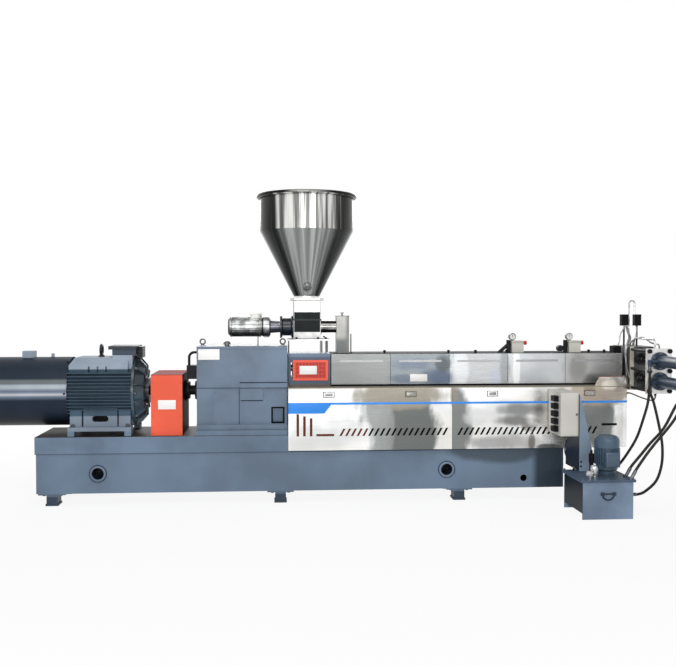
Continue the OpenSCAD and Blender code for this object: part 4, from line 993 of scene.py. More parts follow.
    def pipe(self, name: str, route: Sequence[Point], radius: float) -> bpy.types.Object:
        """Bend a round pipe along a route and turn it into a mesh.

        Args:
            name: Piece name.
            route: Machine places that the pipe passes.
            radius: Its radius.

        Returns:
            The pipe.
        """
        piece = self.tube(name, smooth_line(route, 5), radius, 3)
        bpy.ops.object.convert(target="MESH")
        return self.smooth(piece, 50.0)

    def join(self, name: str, pieces: Sequence[bpy.types.Object]) -> bpy.types.Object:
        """Join pieces into the first one.

        Args:
            name: Name of the whole.
            pieces: Pieces to join.

        Returns:
            The joined piece.
        """
        self.clear()
        for piece in pieces:
            piece.select_set(True)
        bpy.context.view_layer.objects.active = pieces[0]
        if len(pieces) > 1:
            bpy.ops.object.join()
        pieces[0].name = name
        return pieces[0]


X, Y, Z = Way
# Painted shadow: the dark band at the right end and the oval patch at the top of the box under the apron. The thin
# band at the split is a dark joint.
BASE_PAINT = Enamel(
    "base_paint", (98, 116, 136), 0.42, 0.08,
    bands=(Band(X, 3752, 3990, (34, 47, 58), 36), Band(Z, 385, 386, (60, 72, 88), 1)),
    patches=(Patch(3420, 400, 430, 130, (62, 75, 87), 0.35, 0.95),))
FOOT_PAINT = Enamel(
    "foot_paint", (54, 66, 80), 0.42, 0.12, 0.2, 0.2,
    bands=(Band(Z, 66, 100, (92, 108, 127), 2),))
# Painted shadow: the darker bed from under the apron to the right end, darkest at the right end. The two thin bands
# are dark lines at the bed's top and foot.
BED_PAINT = Enamel(
    "bed_paint", (106, 123, 142), 0.5, 0.09, 0.18, 0.08,
    bands=(Band(X, 1868, 4000, (67, 81, 96), 3), Band(X, 3760, 4000, (52, 64, 79), 60),
           Band(Z, 511, 515, (52, 47, 43), 0.8), Band(Z, 384, 388, (52, 62, 76), 1.5)))
GEAR_PAINT = Enamel("gear_paint", (98, 115, 135), 0.34, 0.13, bands=(Band(Z, 1177, 1184, (60, 72, 88), 1),))
CASE_PAINT = Enamel(
    "case_paint", (95, 112, 132), 0.34, 0.13,
    bands=(Band(Z, 864, 869.5, (44, 54, 68), 1.5), Band(Z, 550, 554, (60, 70, 84), 1.5)))
FEED_PAINT = Enamel(
    "feed_paint", (70, 88, 106), 0.36, 0.1,
    bands=(Band(Z, 866, 886, (92, 78, 74), 3), Band(Z, 1094, 1122, (104, 122, 146), 6)))
# The dark band on the tank's left face is painted shade; the band in front of the front face darkens the handle.
TANK_PAINT = Enamel(
    "tank_paint", (122, 139, 160), 0.42, 0.13, 0.18, 0.06,
    bands=(Band(Y, -1000, -982.6, (50, 61, 75), 0.4), Band(X, 3880, 3889.4, (24, 33, 40), 0.2)))
# The dark band on the left part of the post is painted shade.
POST_PAINT = Enamel(
    "post_paint", (138, 156, 175), 0.4, 0.12, 0.18, 0.1,
    bands=(Band(X, 3900, 3981.4, (46, 57, 71), 0.2),))
LID_BLUE = Enamel("tank_lid_paint", (76, 91, 109), 0.4, 0.12, 0.18, 0.1)
# The base colour is darkened for painted shade among the fins; the lighter bands paint the light on the saddle and
# on the foot web.
MOTOR_PAINT = Enamel(
    "motor_paint", (66, 84, 99), 0.5, 0.14, 0.12, 0.1,
    bands=(Band(Z, 1009, 1130, (156, 169, 184), 3), Band(Z, 540, 661, (122, 133, 147), 3)))
SHIELD_PAINT = Enamel("shield_paint", (60, 77, 88), 0.3, 0.3, 0.3, 0.4)
# Painted light on the cowl: a dark band of painted shade at the bottom and pale bands of painted highlight round
# the middle.
COWL_PAINT = Enamel(
    "cowl_paint", (32, 44, 58), 0.4, 0.1, 0.05, 0.14,
    bands=(Band(Z, 560, 650, (18, 24, 32), 40), Band(Z, 800, 862, (120, 133, 154), 22),
           Band(Z, 864, 906, (176, 187, 196), 14), Band(Z, 818, 836, (196, 200, 208), 8),
           Band(Z, 906, 936, (112, 120, 124), 12)))
FAN_BOX_PAINT = Enamel(
    "fan_box_paint", (138, 152, 166), 0.4, 0.08,
    bands=(Band(X, 395, 470, (24, 26, 30), 2),))
SLATE_PAINT = Enamel("slate_paint", (73, 94, 112), 0.28, 0.12)
CYLINDER_PAINT = Enamel("cylinder_paint", (46, 60, 78), 0.34, 0.12, 0.1, 0.26)
LANTERN_PAINT = Enamel("lantern_paint", (26, 34, 44), 0.3, 0.1, 0.1, 0.5)
LID_PAINT = Enamel(
    "terminal_paint", (54, 60, 67), 0.4, 0.1, 0.1, 0.16,
    bands=(Band(Z, 1090, 1151, (70, 82, 98), 3), Band(X, 711, 800, (26, 28, 32), 2)))
# The darker band on the top face and the near-black band on the right side face are painted shade.
GUARD_PAINT = Enamel(
    "guard_paint", (240, 104, 80), 0.5, 0.03, 0.06, 0.02,
    bands=(Band(Z, 966, 990, (136, 36, 25), 1.5), Band(X, 1071.5, 1100, (22, 20, 20), 0.8)))
GRILLE_PAINT = Enamel("grille_paint", (214, 66, 48), 0.44, 0.05, 0.06)
SLOT_RED = Enamel("grille_slot_red", (176, 50, 38), 0.5, 0.05, 0.06)
BORDER_PAINT = Enamel("grille_border_paint", (250, 92, 66), 0.42, 0.04, 0.06)
KNOB_RED = Moulded("knob_red", (214, 52, 44), 0.4)
BEIGE_PAINT = Enamel("beige_paint", (206, 204, 195), 0.44, 0.05, 0.1)
PLATE_WHITE = Enamel("plate_white", (246, 245, 243), 0.4, 0.02, 0)
STRIPE_BLUE = Enamel("stripe_blue", (58, 146, 240), 0.4, 0.03, 0.03, 0.2)
HOPPER_STEEL = RolledSheet("hopper_steel")
NECK_STEEL = Sheet(
    "neck_steel", (198, 198, 198), (182, 183, 184), (198, 196, 192), Z, 5, 0.3, 0.5,
    bands=(Band(X, 1880, 1916, (132, 132, 130), 5), Band(X, 2110, 2145, (132, 132, 130), 5),
           Band(Z, 1526, 1531, (120, 118, 112), 1), Band(Z, 1520, 1525, (150, 148, 140), 1)))
STAND_STEEL = Sheet(
    "stand_steel", (222, 222, 220), (172, 173, 172), (200, 196, 190), X, 6, 0.36, 0.6,
    bands=(Band(Z, 1228, 1236, (60, 63, 68), 1), Band(Z, 1126, 1217, (66, 68, 70), 2)))
# The lighter band high on the dark front is a painted highlight.
TROUGH_STEEL = BareMetal(
    "trough_black", (28, 33, 33), 0.55, 0.1, 0.12, gloss=0.12,
    bands=(Band(X, 1900, 1914, (196, 197, 196), 1.5), Band(X, 2112, 2130, (196, 197, 196), 1.5),
           Band(Z, 1228, 1283, (234, 234, 233), 1.5), Band(Z, 1372, 1384, (58, 63, 63), 4)))
TUBE_STEEL = Sheet(
    "tube_steel", (170, 170, 168), (136, 135, 132), (172, 166, 158), X, 9, 0.22,
    bands=(Band(Z, 1250, 1300, (44, 40, 38), 9), Band(Z, 1345, 1390, (48, 44, 42), 9)))
CHUTE_STEEL = Sheet(
    "chute_steel", (136, 136, 134), (120, 121, 120), (128, 126, 122), Z, 4, 0.34,
    bands=(Band(Z, 1080, 1232, (84, 86, 86), 30), Band(X, 2318, 2350, (92, 92, 91), 16),
           Band(Z, 1405, 1412, (70, 70, 70), 2)))
# Painted reflections: the fields set each cover's tone and the patches lie on them; the light band along the handle
# bars is a painted highlight.
COVER_STEEL = Sheet(
    "cover_steel", (192, 195, 196), (172, 175, 177), (186, 184, 180), X, 1.6, 0.24,
    fields=(Band(X, 2190, 2654, (132, 135, 134), 1), Band(X, 2654, 3112, (126, 133, 136), 1),
            Band(X, 3112, 3570, (172, 175, 176), 1)),
    patches=(Patch(2820, 1035, 150, 46, (104, 113, 128), 0.9, 0.8),
             Patch(3010, 935, 120, 60, (78, 89, 112), 0.9, 0.8),
             Patch(3060, 1040, 60, 60, (84, 90, 92), 0.7, 0.9),
             Patch(2780, 925, 130, 34, (96, 106, 118), 0.7, 0.8),
             Patch(3200, 1000, 60, 150, (206, 208, 209), 0.7, 0.7),
             Patch(3545, 990, 36, 150, (140, 144, 146), 0.7, 0.8),
             Patch(3470, 930, 40, 60, (170, 176, 186), 0.7, 0.8),
             Patch(3640, 1000, 26, 160, (226, 228, 228), 0.6, 0.8),
             Patch(4270, 1000, 240, 260, (170, 170, 169), 0.2),
             Patch(4130, 1000, 70, 110, (124, 124, 123), 0.8, 0.7),
             Patch(4330, 960, 110, 60, (150, 150, 149), 0.9, 0.7)),
    bands=(Band(Y, -200, -171.2, (152, 153, 154), 0.6), Band(Z, 1115.5, 1125, (24, 25, 26), 0.8, True)))
# The patches are painted reflections, except the one that starts at the panel joint, which is painted shadow to the
# right of the joint.
APRON_STEEL = Sheet(
    "apron_steel", (244, 244, 244), (214, 216, 215), (232, 228, 221), X, 1.9, 0.24, 0.8,
    patches=(Patch(2700, 600, 270, 400, (156, 160, 159), 0.3),
             Patch(2810, 560, 190, 250, (108, 112, 110), 0.4),
             Patch(2600, 560, 60, 180, (150, 153, 151), 0.6, 0.8),
             Patch(2740, 812, 330, 100, (149, 144, 132), 0.45, 0.95),
             Patch(3106, 590, 130, 260, (126, 129, 128), 0.35, 1, 3106),
             Patch(3118, 800, 26, 90, (140, 132, 122), 0.5, 0.8),
             Patch(3640, 690, 170, 50, (124, 125, 126), 0.9, 0.9),
             Patch(3600, 610, 150, 40, (108, 108, 108), 0.9, 0.9),
             Patch(3330, 640, 120, 60, (206, 207, 206), 0.9, 0.8),
             Patch(3420, 440, 150, 50, (150, 151, 150), 0.8, 0.8),
             Patch(3700, 560, 60, 40, (110, 104, 98), 0.9, 0.9),
             Patch(3610, 450, 150, 60, (166, 164, 161), 0.9, 0.8),
             Patch(3722, 450, 26, 70, (104, 96, 90), 0.7, 0.8),
             Patch(3850, 405, 90, 26, (100, 102, 100), 0.4, 0.9),
             Patch(3950, 640, 60, 250, (160, 157, 150), 0.7, 0.8),
             Patch(4240, 600, 130, 240, (127, 131, 130), 0.3),
             Patch(4270, 830, 230, 110, (170, 158, 144), 0.4, 0.9),
             Patch(4330, 880, 60, 40, (236, 228, 216), 0.7, 0.9),
             Patch(4170, 880, 40, 50, (140, 126, 112), 0.7, 0.8),
             Patch(1960, 470, 90, 120, (216, 216, 214), 0.5, 0.8)),
    bands=(Band(Z, 862, 866, (150, 146, 126), 2), Band(Z, 866.5, 870, (138, 133, 122), 0.8, True),
           Band(Z, 938, 946, (176, 120, 96), 1.5)))
REAR_STEEL = Sheet("rear_apron_steel", (244, 244, 244), (206, 208, 207), (224, 218, 208), X, 1.5, 0.22)
DRIVE_ALUMINIUM = BareMetal(
    "drive_aluminium", (150, 152, 151), 0.36, 0.8, 0.28, 90,
    bands=(Band(X, 1400, 1409, (40, 40, 41), 2), Band(X, 1664, 1676, (44, 44, 46), 3),
           Band(X, 1724, 1800, (116, 118, 126), 10), Band(Z, 1240, 1272, (60, 60, 60), 16),
           Band(Z, 1388, 1404, (110, 110, 110), 8)))
MACHINED_STEEL = BareMetal("machined_steel", (150, 150, 148), 0.34)
BLOCK_STEEL = BareMetal(
    "block_steel", (74, 74, 73), 0.4, 0.5, 0.4,
    bands=(Band(X, 4500, 4515, (84, 84, 84), 0.8), Band(X, 4515.6, 4548, (196, 192, 180), 2)))
PLATE_STEEL = BareMetal("plate_steel", (224, 224, 221), 0.4, 0.5, 0.05)
PISTON_STEEL = BareMetal("piston_steel", (56, 56, 58), 0.26, 0.8, 0.2)
BLACK_STEEL = BareMetal("black_steel", (30, 31, 33), 0.46, 0.2, 0.2, gloss=0.15)
NUT_STEEL = BareMetal("nut_steel", (92, 94, 98), 0.36, 0.8, 0.14)
BRIGHT_STEEL = BareMetal("bright_steel", (170, 172, 174), 0.22, 0.9, 0.2)
BLACK_PLASTIC = Moulded("black_plastic", (20, 20, 23), 0.5, gloss=0.05)
SEAL_RUBBER = Moulded("seal_rubber", (6, 6, 7), 0.8, gloss=0.06)
HOSE_RUBBER = Moulded("hose_rubber", (26, 23, 21), 0.44, 900)
SLOT_DARK = Moulded("slot_dark", (9, 9, 10), 0.8, gloss=0.06)
SLOT_BROWN = Moulded("slot_brown", (98, 54, 42), 0.8, gloss=0.06)
RIM_PAINT = Enamel("rim_paint", (100, 117, 136), 0.36, 0.1, 0.2)
# Dark blue for painted shade: the gearbox's shadow lines, the ring at the foot of the lifting rims and the inside
# of the lifting bores.
SHADE_BLUE = Enamel("joint_blue", (26, 36, 50), 0.6, 0.1, 0.05, 0.1)
LINE_BLUE = Enamel("line_blue", (56, 69, 86), 0.6, 0.1, 0.05, 0.1)
PANE_BLUE = Enamel("pane_blue", (78, 95, 114), 0.4, 0.1, 0.1)
PANEL_SLATE = Enamel("panel_slate", (76, 92, 110), 0.34, 0.1, 0.1)
LID_BEIGE = Enamel("lid_beige", (186, 184, 174), 0.46, 0.05, 0.1)
FIN_ALUMINIUM = BareMetal(
    "fin_aluminium", (188, 190, 189), 0.38, 0.8, 0.22, 34,
    bands=(Band(Z, 1240, 1280, (48, 48, 48), 14), Band(Z, 1330, 1352, (104, 104, 104), 8)))
DRIVE_LID = BareMetal("drive_lid", (150, 150, 148), 0.4, 0.7, 0.3)
PORT_STEEL = BareMetal("port_steel", (126, 127, 126), 0.3, 0.85, 0.2)
LATCH_GREY = BareMetal("latch_grey", (74, 75, 76), 0.45, 0.4, 0.1, gloss=0.15)
CONDUIT_STEEL = BareMetal("conduit_steel", (140, 140, 139), 0.34, 0.85, 0.3, 700)
DIAL_WHITE = Enamel("dial_white", (226, 226, 222), 0.4, 0.02, 0.02)


@dataclass
class SubAssembly:
    """A group of pieces: the solids that it dresses and the pieces that it adds."""

    bench: Bench
    solids: Mapping[str, bpy.types.Object]
    finishes: Mapping[str, Finish] = field(default_factory=dict)

    def dress(self) -> None:
        """Give every solid of the group its finish."""
        for node, finish in self.finishes.items():
            solid = self.solids[node]
            if not solid.material_slots:
                solid.data.materials.append(None)
            for slot in solid.material_slots:
                slot.material = finish.material()
            LOG.info("solid %s: %s", node, finish.name)

    def fit(self, piece: bpy.types.Object, finish: Finish, slot: str, body: str = "machine") -> bpy.types.Object:
        """Finish a new piece and let it ride on a body.

        Args:
            piece: The modelled piece.
            finish: Its finish.
            slot: The record's material slot; not used.
            body: Body that carries it.

        Returns:
            The piece.
        """
        piece.data.materials.clear()
        piece.data.materials.append(finish.material())
        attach(piece, body)
        LOG.info("piece %s: %s", piece.name, finish.name)
        return piece

    def bolts(self, name: str, places: Sequence[Point], aim: Point, across: float, finish: Finish,
              slot: str = "stainless") -> None:
        """Put equal bolt heads at some places, as one piece.

        Args:
            name: Piece name.
            places: Machine places of the washers' undersides.
            aim: Direction that the heads point in.
            across: Size over the corners.
            finish: Their finish.
            slot: The record's material slot.
        """
        head = self.bench.bolt(name, places[0], aim, across)
        self.fit(self.bench.copies(head, steps(places)), finish, slot)

    def blank(self, name: str, box: Box, bevel: float = 0.6) -> None:
        """Put on a blank white plate."""
        self.fit(self.bench.block(name, *box, bevel), PLATE_WHITE, "beige_paint")

    def build(self) -> None:
        """Model the group's own pieces."""


@dataclass(frozen=True)
class Lamp:
    """A soft rectangular lamp: machine places, its size in metres and its power in watts."""

    name: str
    place: Point
    aim: Point
    wide: float
    high: float
    power: float

    def hang(self) -> None:
        """Hang the lamp and point it."""
        data = bpy.data.lights.new(self.name, "AREA")
        data.shape = "RECTANGLE"
        data.size = self.wide
        data.size_y = self.high
        data.energy = self.power
        lamp = bpy.data.objects.new(self.name, data)
        lamp.location = DATUM.at(self.place)
        lamp.rotation_euler = (DATUM.at(self.aim) - DATUM.at(self.place)).to_track_quat("-Z", "Y").to_euler()
        bpy.context.scene.collection.objects.link(lamp)


@dataclass
class Studio:
    """Camera, lamps, white background and floor."""

    eye: Point = (1757.9, -7047.0, 1468.6)
    yaw: float = -4.0675
    pitch: float = -1.591
    lens: float = 47.93
    sensor: float = 36.0
    far: float = 200.0
    lamps: tuple[Lamp, ...] = (Lamp("front_lamp", (1800, -9200, 2150), (2100, 0, 900), 8, 0.8, 340),
                               Lamp("high_lamp", (900, -3600, 5600), (2200, 0, 700), 4, 2.4, 110),
                               Lamp("rear_lamp", (2200, 5600, 3600), (2100, 0, 900), 5, 2, 190))
    sky: float = 0.36
    floor_size: float = 60.0
    floor_z: float = -0.0005
    floor_greys: tuple[Colour, Colour] = ((236, 236, 236), (246, 246, 246))
    shadow_reach: tuple[float, float] = (2.4, 4.9)

    def build(self) -> None:
        """Set up the whole studio."""
        scene = bpy.context.scene
        scene.view_settings.view_transform = "Standard"
        self.camera(scene)
        self.world(scene)
        for lamp in self.lamps:
            lamp.hang()
        self.floor()

    def camera(self, scene: bpy.types.Scene) -> None:
        """Stand the camera at the photograph's eye point.

        Args:
            scene: Scene that looks through it.
        """
        data = bpy.data.cameras.new("camera")
        data.lens = self.lens
        data.sensor_width = self.sensor
        data.sensor_fit = "HORIZONTAL"
        data.clip_end = self.far
        camera = bpy.data.objects.new("camera", data)
        camera.location = DATUM.at(self.eye)
        camera.rotation_euler = (math.radians(90.0 + self.pitch), 0.0, math.radians(self.yaw))
        scene.collection.objects.link(camera)
        scene.camera = camera

    def world(self, scene: bpy.types.Scene) -> None:
        """Make the background white for the eye and for reflections, and level for the light.

        Args:
            scene: Scene that it lights.
        """
        scene.world = bpy.data.worlds.new("studio")
        sky = Nodes(scene.world)
        level = sky.node("ShaderNodeMapRange", None, {"Value": sky.seen(), "To Min": self.sky, "To Max": 1.0})
        back = sky.node("ShaderNodeBackground", None, {"Color": tone(255, 255, 255), "Strength": level})
        sky.add("ShaderNodeOutputWorld", None, {"Surface": back})

    def floor(self) -> None:
        """Lay a pale floor that keeps the shadow and goes over into the background."""
        bpy.ops.object.select_all(action="DESELECT")
        bpy.ops.mesh.primitive_plane_add(size=self.floor_size, location=(0.0, 0.0, self.floor_z))
        floor = bpy.context.object
        floor.name = "studio_floor"
        shade = Shade("floor_white")
        shade.dress(Base_Color=shade.blend(shade.noise(6), *self.floor_greys), Roughness=0.8)
        glow = shade.node("ShaderNodeEmission", None, {"Strength": 1.0})
        x, y, _ = shade.axes
        away = shade.step((x * x + y * y) ** 0.5, *self.shadow_reach)
        seen = shade.seen() * (0.9 + away * 0.1)
        surface = shade.node("ShaderNodeMixShader", None, {0: seen, 1: Sock(shade, shade.body.outputs[0]), 2: glow})
        shade.put(shade.output.inputs["Surface"], surface)
        floor.data.materials.append(shade.material)


@dataclass
class HydraulicHoses(SubAssembly):
    """Four free oil hoses from the cylinders down to the power unit, and two cables."""

    radius: float = 10
    cable_radius: float = 5
    spans: int = 4
    fine: int = 4
    routes: Mapping[str, Sequence[Point]] = field(default_factory=lambda: {
        "hose_upper_rod": ((4500, -650, 1041), (4500, -650, 1000), (4496, -655, 890), (4486, -656, 780),
                           (4456, -654, 667), (4412, -645, 527), (4358, -632, 422), (4297, -611, 323),
                           (4262, -611, 303)),
        "hose_lower_rod": ((4516, -620, 891), (4516, -620, 850), (4540, -634, 770), (4573, -660, 590),
                           (4580, -695, 460), (4554, -745, 336), (4489, -805, 231), (4390, -848, 165),
                           (4330, -860, 147), (4286, -860, 147)),
        "hose_upper_cap": ((4690, -905, 1041), (4690, -905, 1000), (4680, -905, 920), (4640, -905, 850),
                           (4583, -905, 781), (4499, -901, 623), (4407, -894, 518), (4345, -888, 440),
                           (4275, -880, 352), (4251, -880, 310)),
        "hose_lower_cap": ((4609, -945, 846), (4609, -945, 805), (4566, -946, 707), (4496, -955, 619),
                           (4416, -966, 534), (4350, -972, 456), (4275, -976, 352), (4251, -976, 310)),
        "box_cable": ((3911, -560, 515), (3911, -560, 495), (3902, -563, 462), (3895, -572, 425),
                      (3898, -584, 388), (3917, -597, 352), (3938, -608, 324), (3950, -612, 304),
                      (3950, -612, 292)),
        "heater_cable": ((4497, -240, 808), (4514, -240, 808), (4540, -259, 799), (4560, -305, 787),
                         (4573, -365, 779), (4581, -430, 775), (4585, -490, 775), (4585, -527, 781),
                         (4585, -547, 796), (4585, -553, 809), (4585, -553, 817)),
    })

    def build(self) -> None:
        """Lay every hose with its crimped sleeves."""
        for node, route in self.routes.items():
            cable = node.endswith("_cable")
            radius = self.cable_radius if cable else self.radius
            run = smooth_line(route, self.spans)
            hose = self.bench.tube(node + "_rubber", run, radius, self.fine)
            self.fit(hose, HOSE_RUBBER, "hose_rubber")
            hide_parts(node)
            length = sum((b - a).length for a, b in zip(run, run[1:]))
            sleeves = self.sleeves(node, route, radius)

    def sleeves(self, node: str, route: Sequence[Point], radius: float) -> bpy.types.Object:
        """Crimp a grooved sleeve on both ends of a hose.

        Args:
            node: Hose that takes the sleeves.
            route: Its route.
            radius: Its radius.

        Returns:
            Both sleeves as one piece.
        """
        inner, outer = radius + 0.2, radius * 1.3
        notch = outer - 0.14 * radius
        rings = [(inner, 0.05), (outer, 0.05), (outer, 0.9), (notch, 1.05), (notch, 1.3), (outer, 1.45),
                 (outer, 2.0), (notch, 2.15), (notch, 2.4), (outer, 2.55), (outer, 3.1), (inner, 3.4),
                 (inner, 0.05)]
        rings = [(wide, high * radius) for wide, high in rings]
        ends = [self.bench.turned(f"{node}_{tag}", rings, end, steps((end, inward))[0], 20)
                for tag, end, inward in (("top", route[0], route[1]), ("foot", route[-1], route[-2]))]
        return self.fit(self.bench.join(node + "_sleeves", ends), NUT_STEEL, "stainless")


@dataclass
class Base(SubAssembly):
    """Welded base, bed and levelling feet."""

    finishes: Mapping[str, Finish] = field(default_factory=lambda: {
        "base_box": BASE_PAINT, "bed_beam": BED_PAINT, "levelling_feet": FOOT_PAINT})
    lifts: tuple[float, float] = (451, 3070)
    lift_z: float = 237.5
    face: float = 286
    bore: float = 44
    rim: Profile = ((0, 0), (16, 0), (16, 3), (12, 7), (4, 8), (0, 6), (0, 0))
    # A ring of painted shade round the rim's foot, and a thin tube of painted shade inside the bore.
    rim_shade: Profile = ((16, 0), (21, 0), (20, 1.6), (16, 2.4), (16, 0))
    bore_shade: Profile = ((-0.3, 0), (-0.3, 560), (-1.6, 560), (-1.6, 0), (-0.3, 0))
    bore_shade_y: float = -280
    nuts_x: tuple[float, ...] = (51, 175, 1743, 1867, 3108, 3232)
    nut: tuple[float, float, float] = (-256, 90, 26)

    def ring(self, name: str, profile: Profile, y: float, aim: Point) -> bpy.types.Object:
        """Turn a profile, given from the bore's wall outwards, round the left lifting bore."""
        outline = [(self.bore + out, high) for out, high in profile]
        return self.bench.turned(name, outline, (self.lifts[0], y, self.lift_z), aim, 40)

    def build(self) -> None:
        """Weld a rim round each lifting bore with a ring of painted shade at its foot, paint the shade inside the
        bores and put the jacking nuts on the feet.
        """
        across = [(self.lifts[1] - self.lifts[0], 0, 0)]
        rims = [self.bench.copies(self.ring("lifting_rim", self.rim, -self.face, FRONT), across),
                self.bench.copies(self.ring("lifting_rim_rear", self.rim, self.face, BACK), across)]
        self.fit(self.bench.join("lifting_rims", rims), RIM_PAINT, "painted")
        inside = self.bench.join("lifting_welds", [self.ring("lifting_welds", self.rim_shade, -self.face, FRONT),
                                                   self.ring("lifting_liner", self.bore_shade, self.bore_shade_y, BACK)])
        self.fit(self.bench.copies(inside, across), SHADE_BLUE, "painted")
        y, z, wide = self.nut
        self.bolts("foot_nuts", [(x, y, z) for x in self.nuts_x], DOWN, wide, NUT_STEEL)


@dataclass
class DriveMotor(SubAssembly):
    """Main motor with its fan cowl and terminal box."""

    finishes: Mapping[str, Finish] = field(default_factory=lambda: {
        "motor_frame": MOTOR_PAINT, "motor_end_shield": SHIELD_PAINT, "fan_cowl": COWL_PAINT,
        "terminal_box": LID_PAINT, "motor_fittings": FAN_BOX_PAINT})
    shaft_z: float = 832
    cowl_radius: float = 262
    cowl_screw_x: float = 204
    cowl_screw: float = 14
    shield_x: float = 714
    shield_pitch: float = 254
    shield_bolt: float = 22
    feet_x: tuple[float, float] = (262, 666)
    feet_y: tuple[float, float] = (-254, 254)
    foot_top: float = 582
    foot_bolt: float = 30
    slot: Box = ((403.5, -228, 618), (523.5, -220, 662))
    slot_step: float = 448

    def build(self) -> None:
        """Add the bolts of shield, cowl and feet, and the dark of the feet's slots."""
        axis = (0, 0, self.shaft_z)
        bolt = self.bench.bolt("shield_bolts", (self.shield_x, 0, self.shaft_z + self.shield_pitch), RIGHT,
                               self.shield_bolt)
        self.fit(self.bench.wheel(bolt, axis, X, 8), NUT_STEEL, "stainless")
        screw = self.bench.bolt("cowl_screws", (self.cowl_screw_x, -self.cowl_radius, self.shaft_z), FRONT,
                                self.cowl_screw)
        self.fit(self.bench.wheel(screw, axis, X, 6), BLACK_STEEL, "stainless")
        places = [(x, y, self.foot_top) for y in self.feet_y for x in self.feet_x]
        self.bolts("motor_foot_bolts", places, UP, self.foot_bolt, NUT_STEEL)
        pane = self.bench.block("foot_slot_shade", *self.slot, 3)
        self.fit(self.bench.copies(pane, [(0, self.slot_step, 0)]), SLOT_DARK, "black_steel")


@dataclass
class CouplingGuard(SubAssembly):
    """Red guard over the coupling, with a blank plate."""

    finishes: Mapping[str, Finish] = field(default_factory=lambda: {
        "coupling_guard": GUARD_PAINT, "drive_coupling": BLACK_STEEL})
    plate: Box = ((891, -251.6, 710), (1022, -250, 779))
    face_y: float = -250
    screws_x: tuple[float, float] = (850, 1058)
    screws_z: tuple[float, ...] = (536, 660, 800, 914)
    screw: float = 11

    def build(self) -> None:
        """Put the blank plate on, and painted screws along the edges."""
        self.blank("guard_plate", self.plate)
        places = [(x, self.face_y, z) for x in self.screws_x for z in self.screws_z]
        self.bolts("guard_screws", places, FRONT, self.screw, GUARD_PAINT, "guard_red")


@dataclass
class Gearbox(SubAssembly):
    """Split gearbox with its lid and input side."""

    finishes: Mapping[str, Finish] = field(default_factory=lambda: {
        "gearbox_lower": CASE_PAINT, "gearbox_upper": CASE_PAINT, "gearbox_lid": GEAR_PAINT,
        "gearbox_fittings": NUT_STEEL, "input_cover": BLACK_STEEL})
    plate: Box = ((1189, -246.6, 1080), (1349, -245, 1161))
    # Painted shadow lines under the top of the flange and under the raised plate.
    joints: tuple[Box, ...] = (((1498, -246.6, 903), (1858, -244.8, 909)),
                               ((1506, -246.6, 768), (1674, -244.8, 775)))
    lines: tuple[Box, ...] = (((1178, -246.2, 864), (1498, -244.8, 869)),
                              ((1498, -260.2, 864), (1858, -258.8, 868.5)),
                              ((1494, -246.2, 592), (1498, -244.8, 864)))
    window: Box = ((1736, -247.5, 598), (1836, -244.8, 722))
    window_bar: float = 11
    pane: Box = ((1746, -238, 610), (1826, -231.2, 710))
    screws_x: tuple[float, float] = (1316, 1476)
    screws_z: tuple[float, float] = (608, 840)
    screw_y: float = -253
    screw: float = 13

    def build(self) -> None:
        """Add the blank plate, the painted shadow lines and the dark joints, the window's frame and pane, and the
        cover screws.
        """
        self.blank("gearbox_plate", self.plate)
        for name, bars, finish in (("gearbox_joints", self.joints, SHADE_BLUE),
                                   ("gearbox_lines", self.lines, LINE_BLUE)):
            row = [self.bench.block(f"{name}_{k}", *bar, 0.4) for k, bar in enumerate(bars)]
            self.fit(self.bench.join(name, row), finish, "painted")
        frame = self.bench.border("gearbox_window_frame", *self.window, self.window_bar)
        self.fit(frame, SLOT_DARK, "black_steel")
        self.fit(self.bench.panel("gearbox_window_pane", *self.pane, 10, 2), PANE_BLUE, "painted")
        places = [(x, self.screw_y, z) for z in self.screws_z for x in self.screws_x]
        self.bolts("gearbox_screws", places, FRONT, self.screw, GEAR_PAINT, "painted")


@dataclass
class FeedSection(SubAssembly):
    """Feed housing with the red grilles."""

    finishes: Mapping[str, Finish] = field(default_factory=lambda: {
        "feed_housing": FEED_PAINT, "feed_grilles": GRILLE_PAINT, "screw_shafts": MACHINED_STEEL})
    front_grille: Box = ((1901.5, -178.5, 915.1), (2169.5, -176, 1070.1))
    rear_grille: Box = ((1901.5, 176, 915.1), (2169.5, 178.5, 1070.1))
    bar: float = 15
    backing: Box = ((1907.5, -174.2, 921.1), (2163.5, -171, 1064.1))
    backing_step: float = 345.2
    plate: Box = ((1952, -177.6, 961), (2085, -176, 1026))

    def build(self) -> None:
        """Frame and back the grilles, and add the blank plate."""
        borders = [self.bench.border("grille_border", *self.front_grille, self.bar),
                   self.bench.border("grille_border_rear", *self.rear_grille, self.bar)]
        self.fit(self.bench.join("grille_border", borders), BORDER_PAINT, "guard_red")
        back = self.bench.panel("grille_backing", *self.backing, 12, 1, 0.5)
        self.fit(self.bench.copies(back, [(0, self.backing_step, 0)]), SLOT_RED, "guard_red")
        self.blank("grille_plate", self.plate)


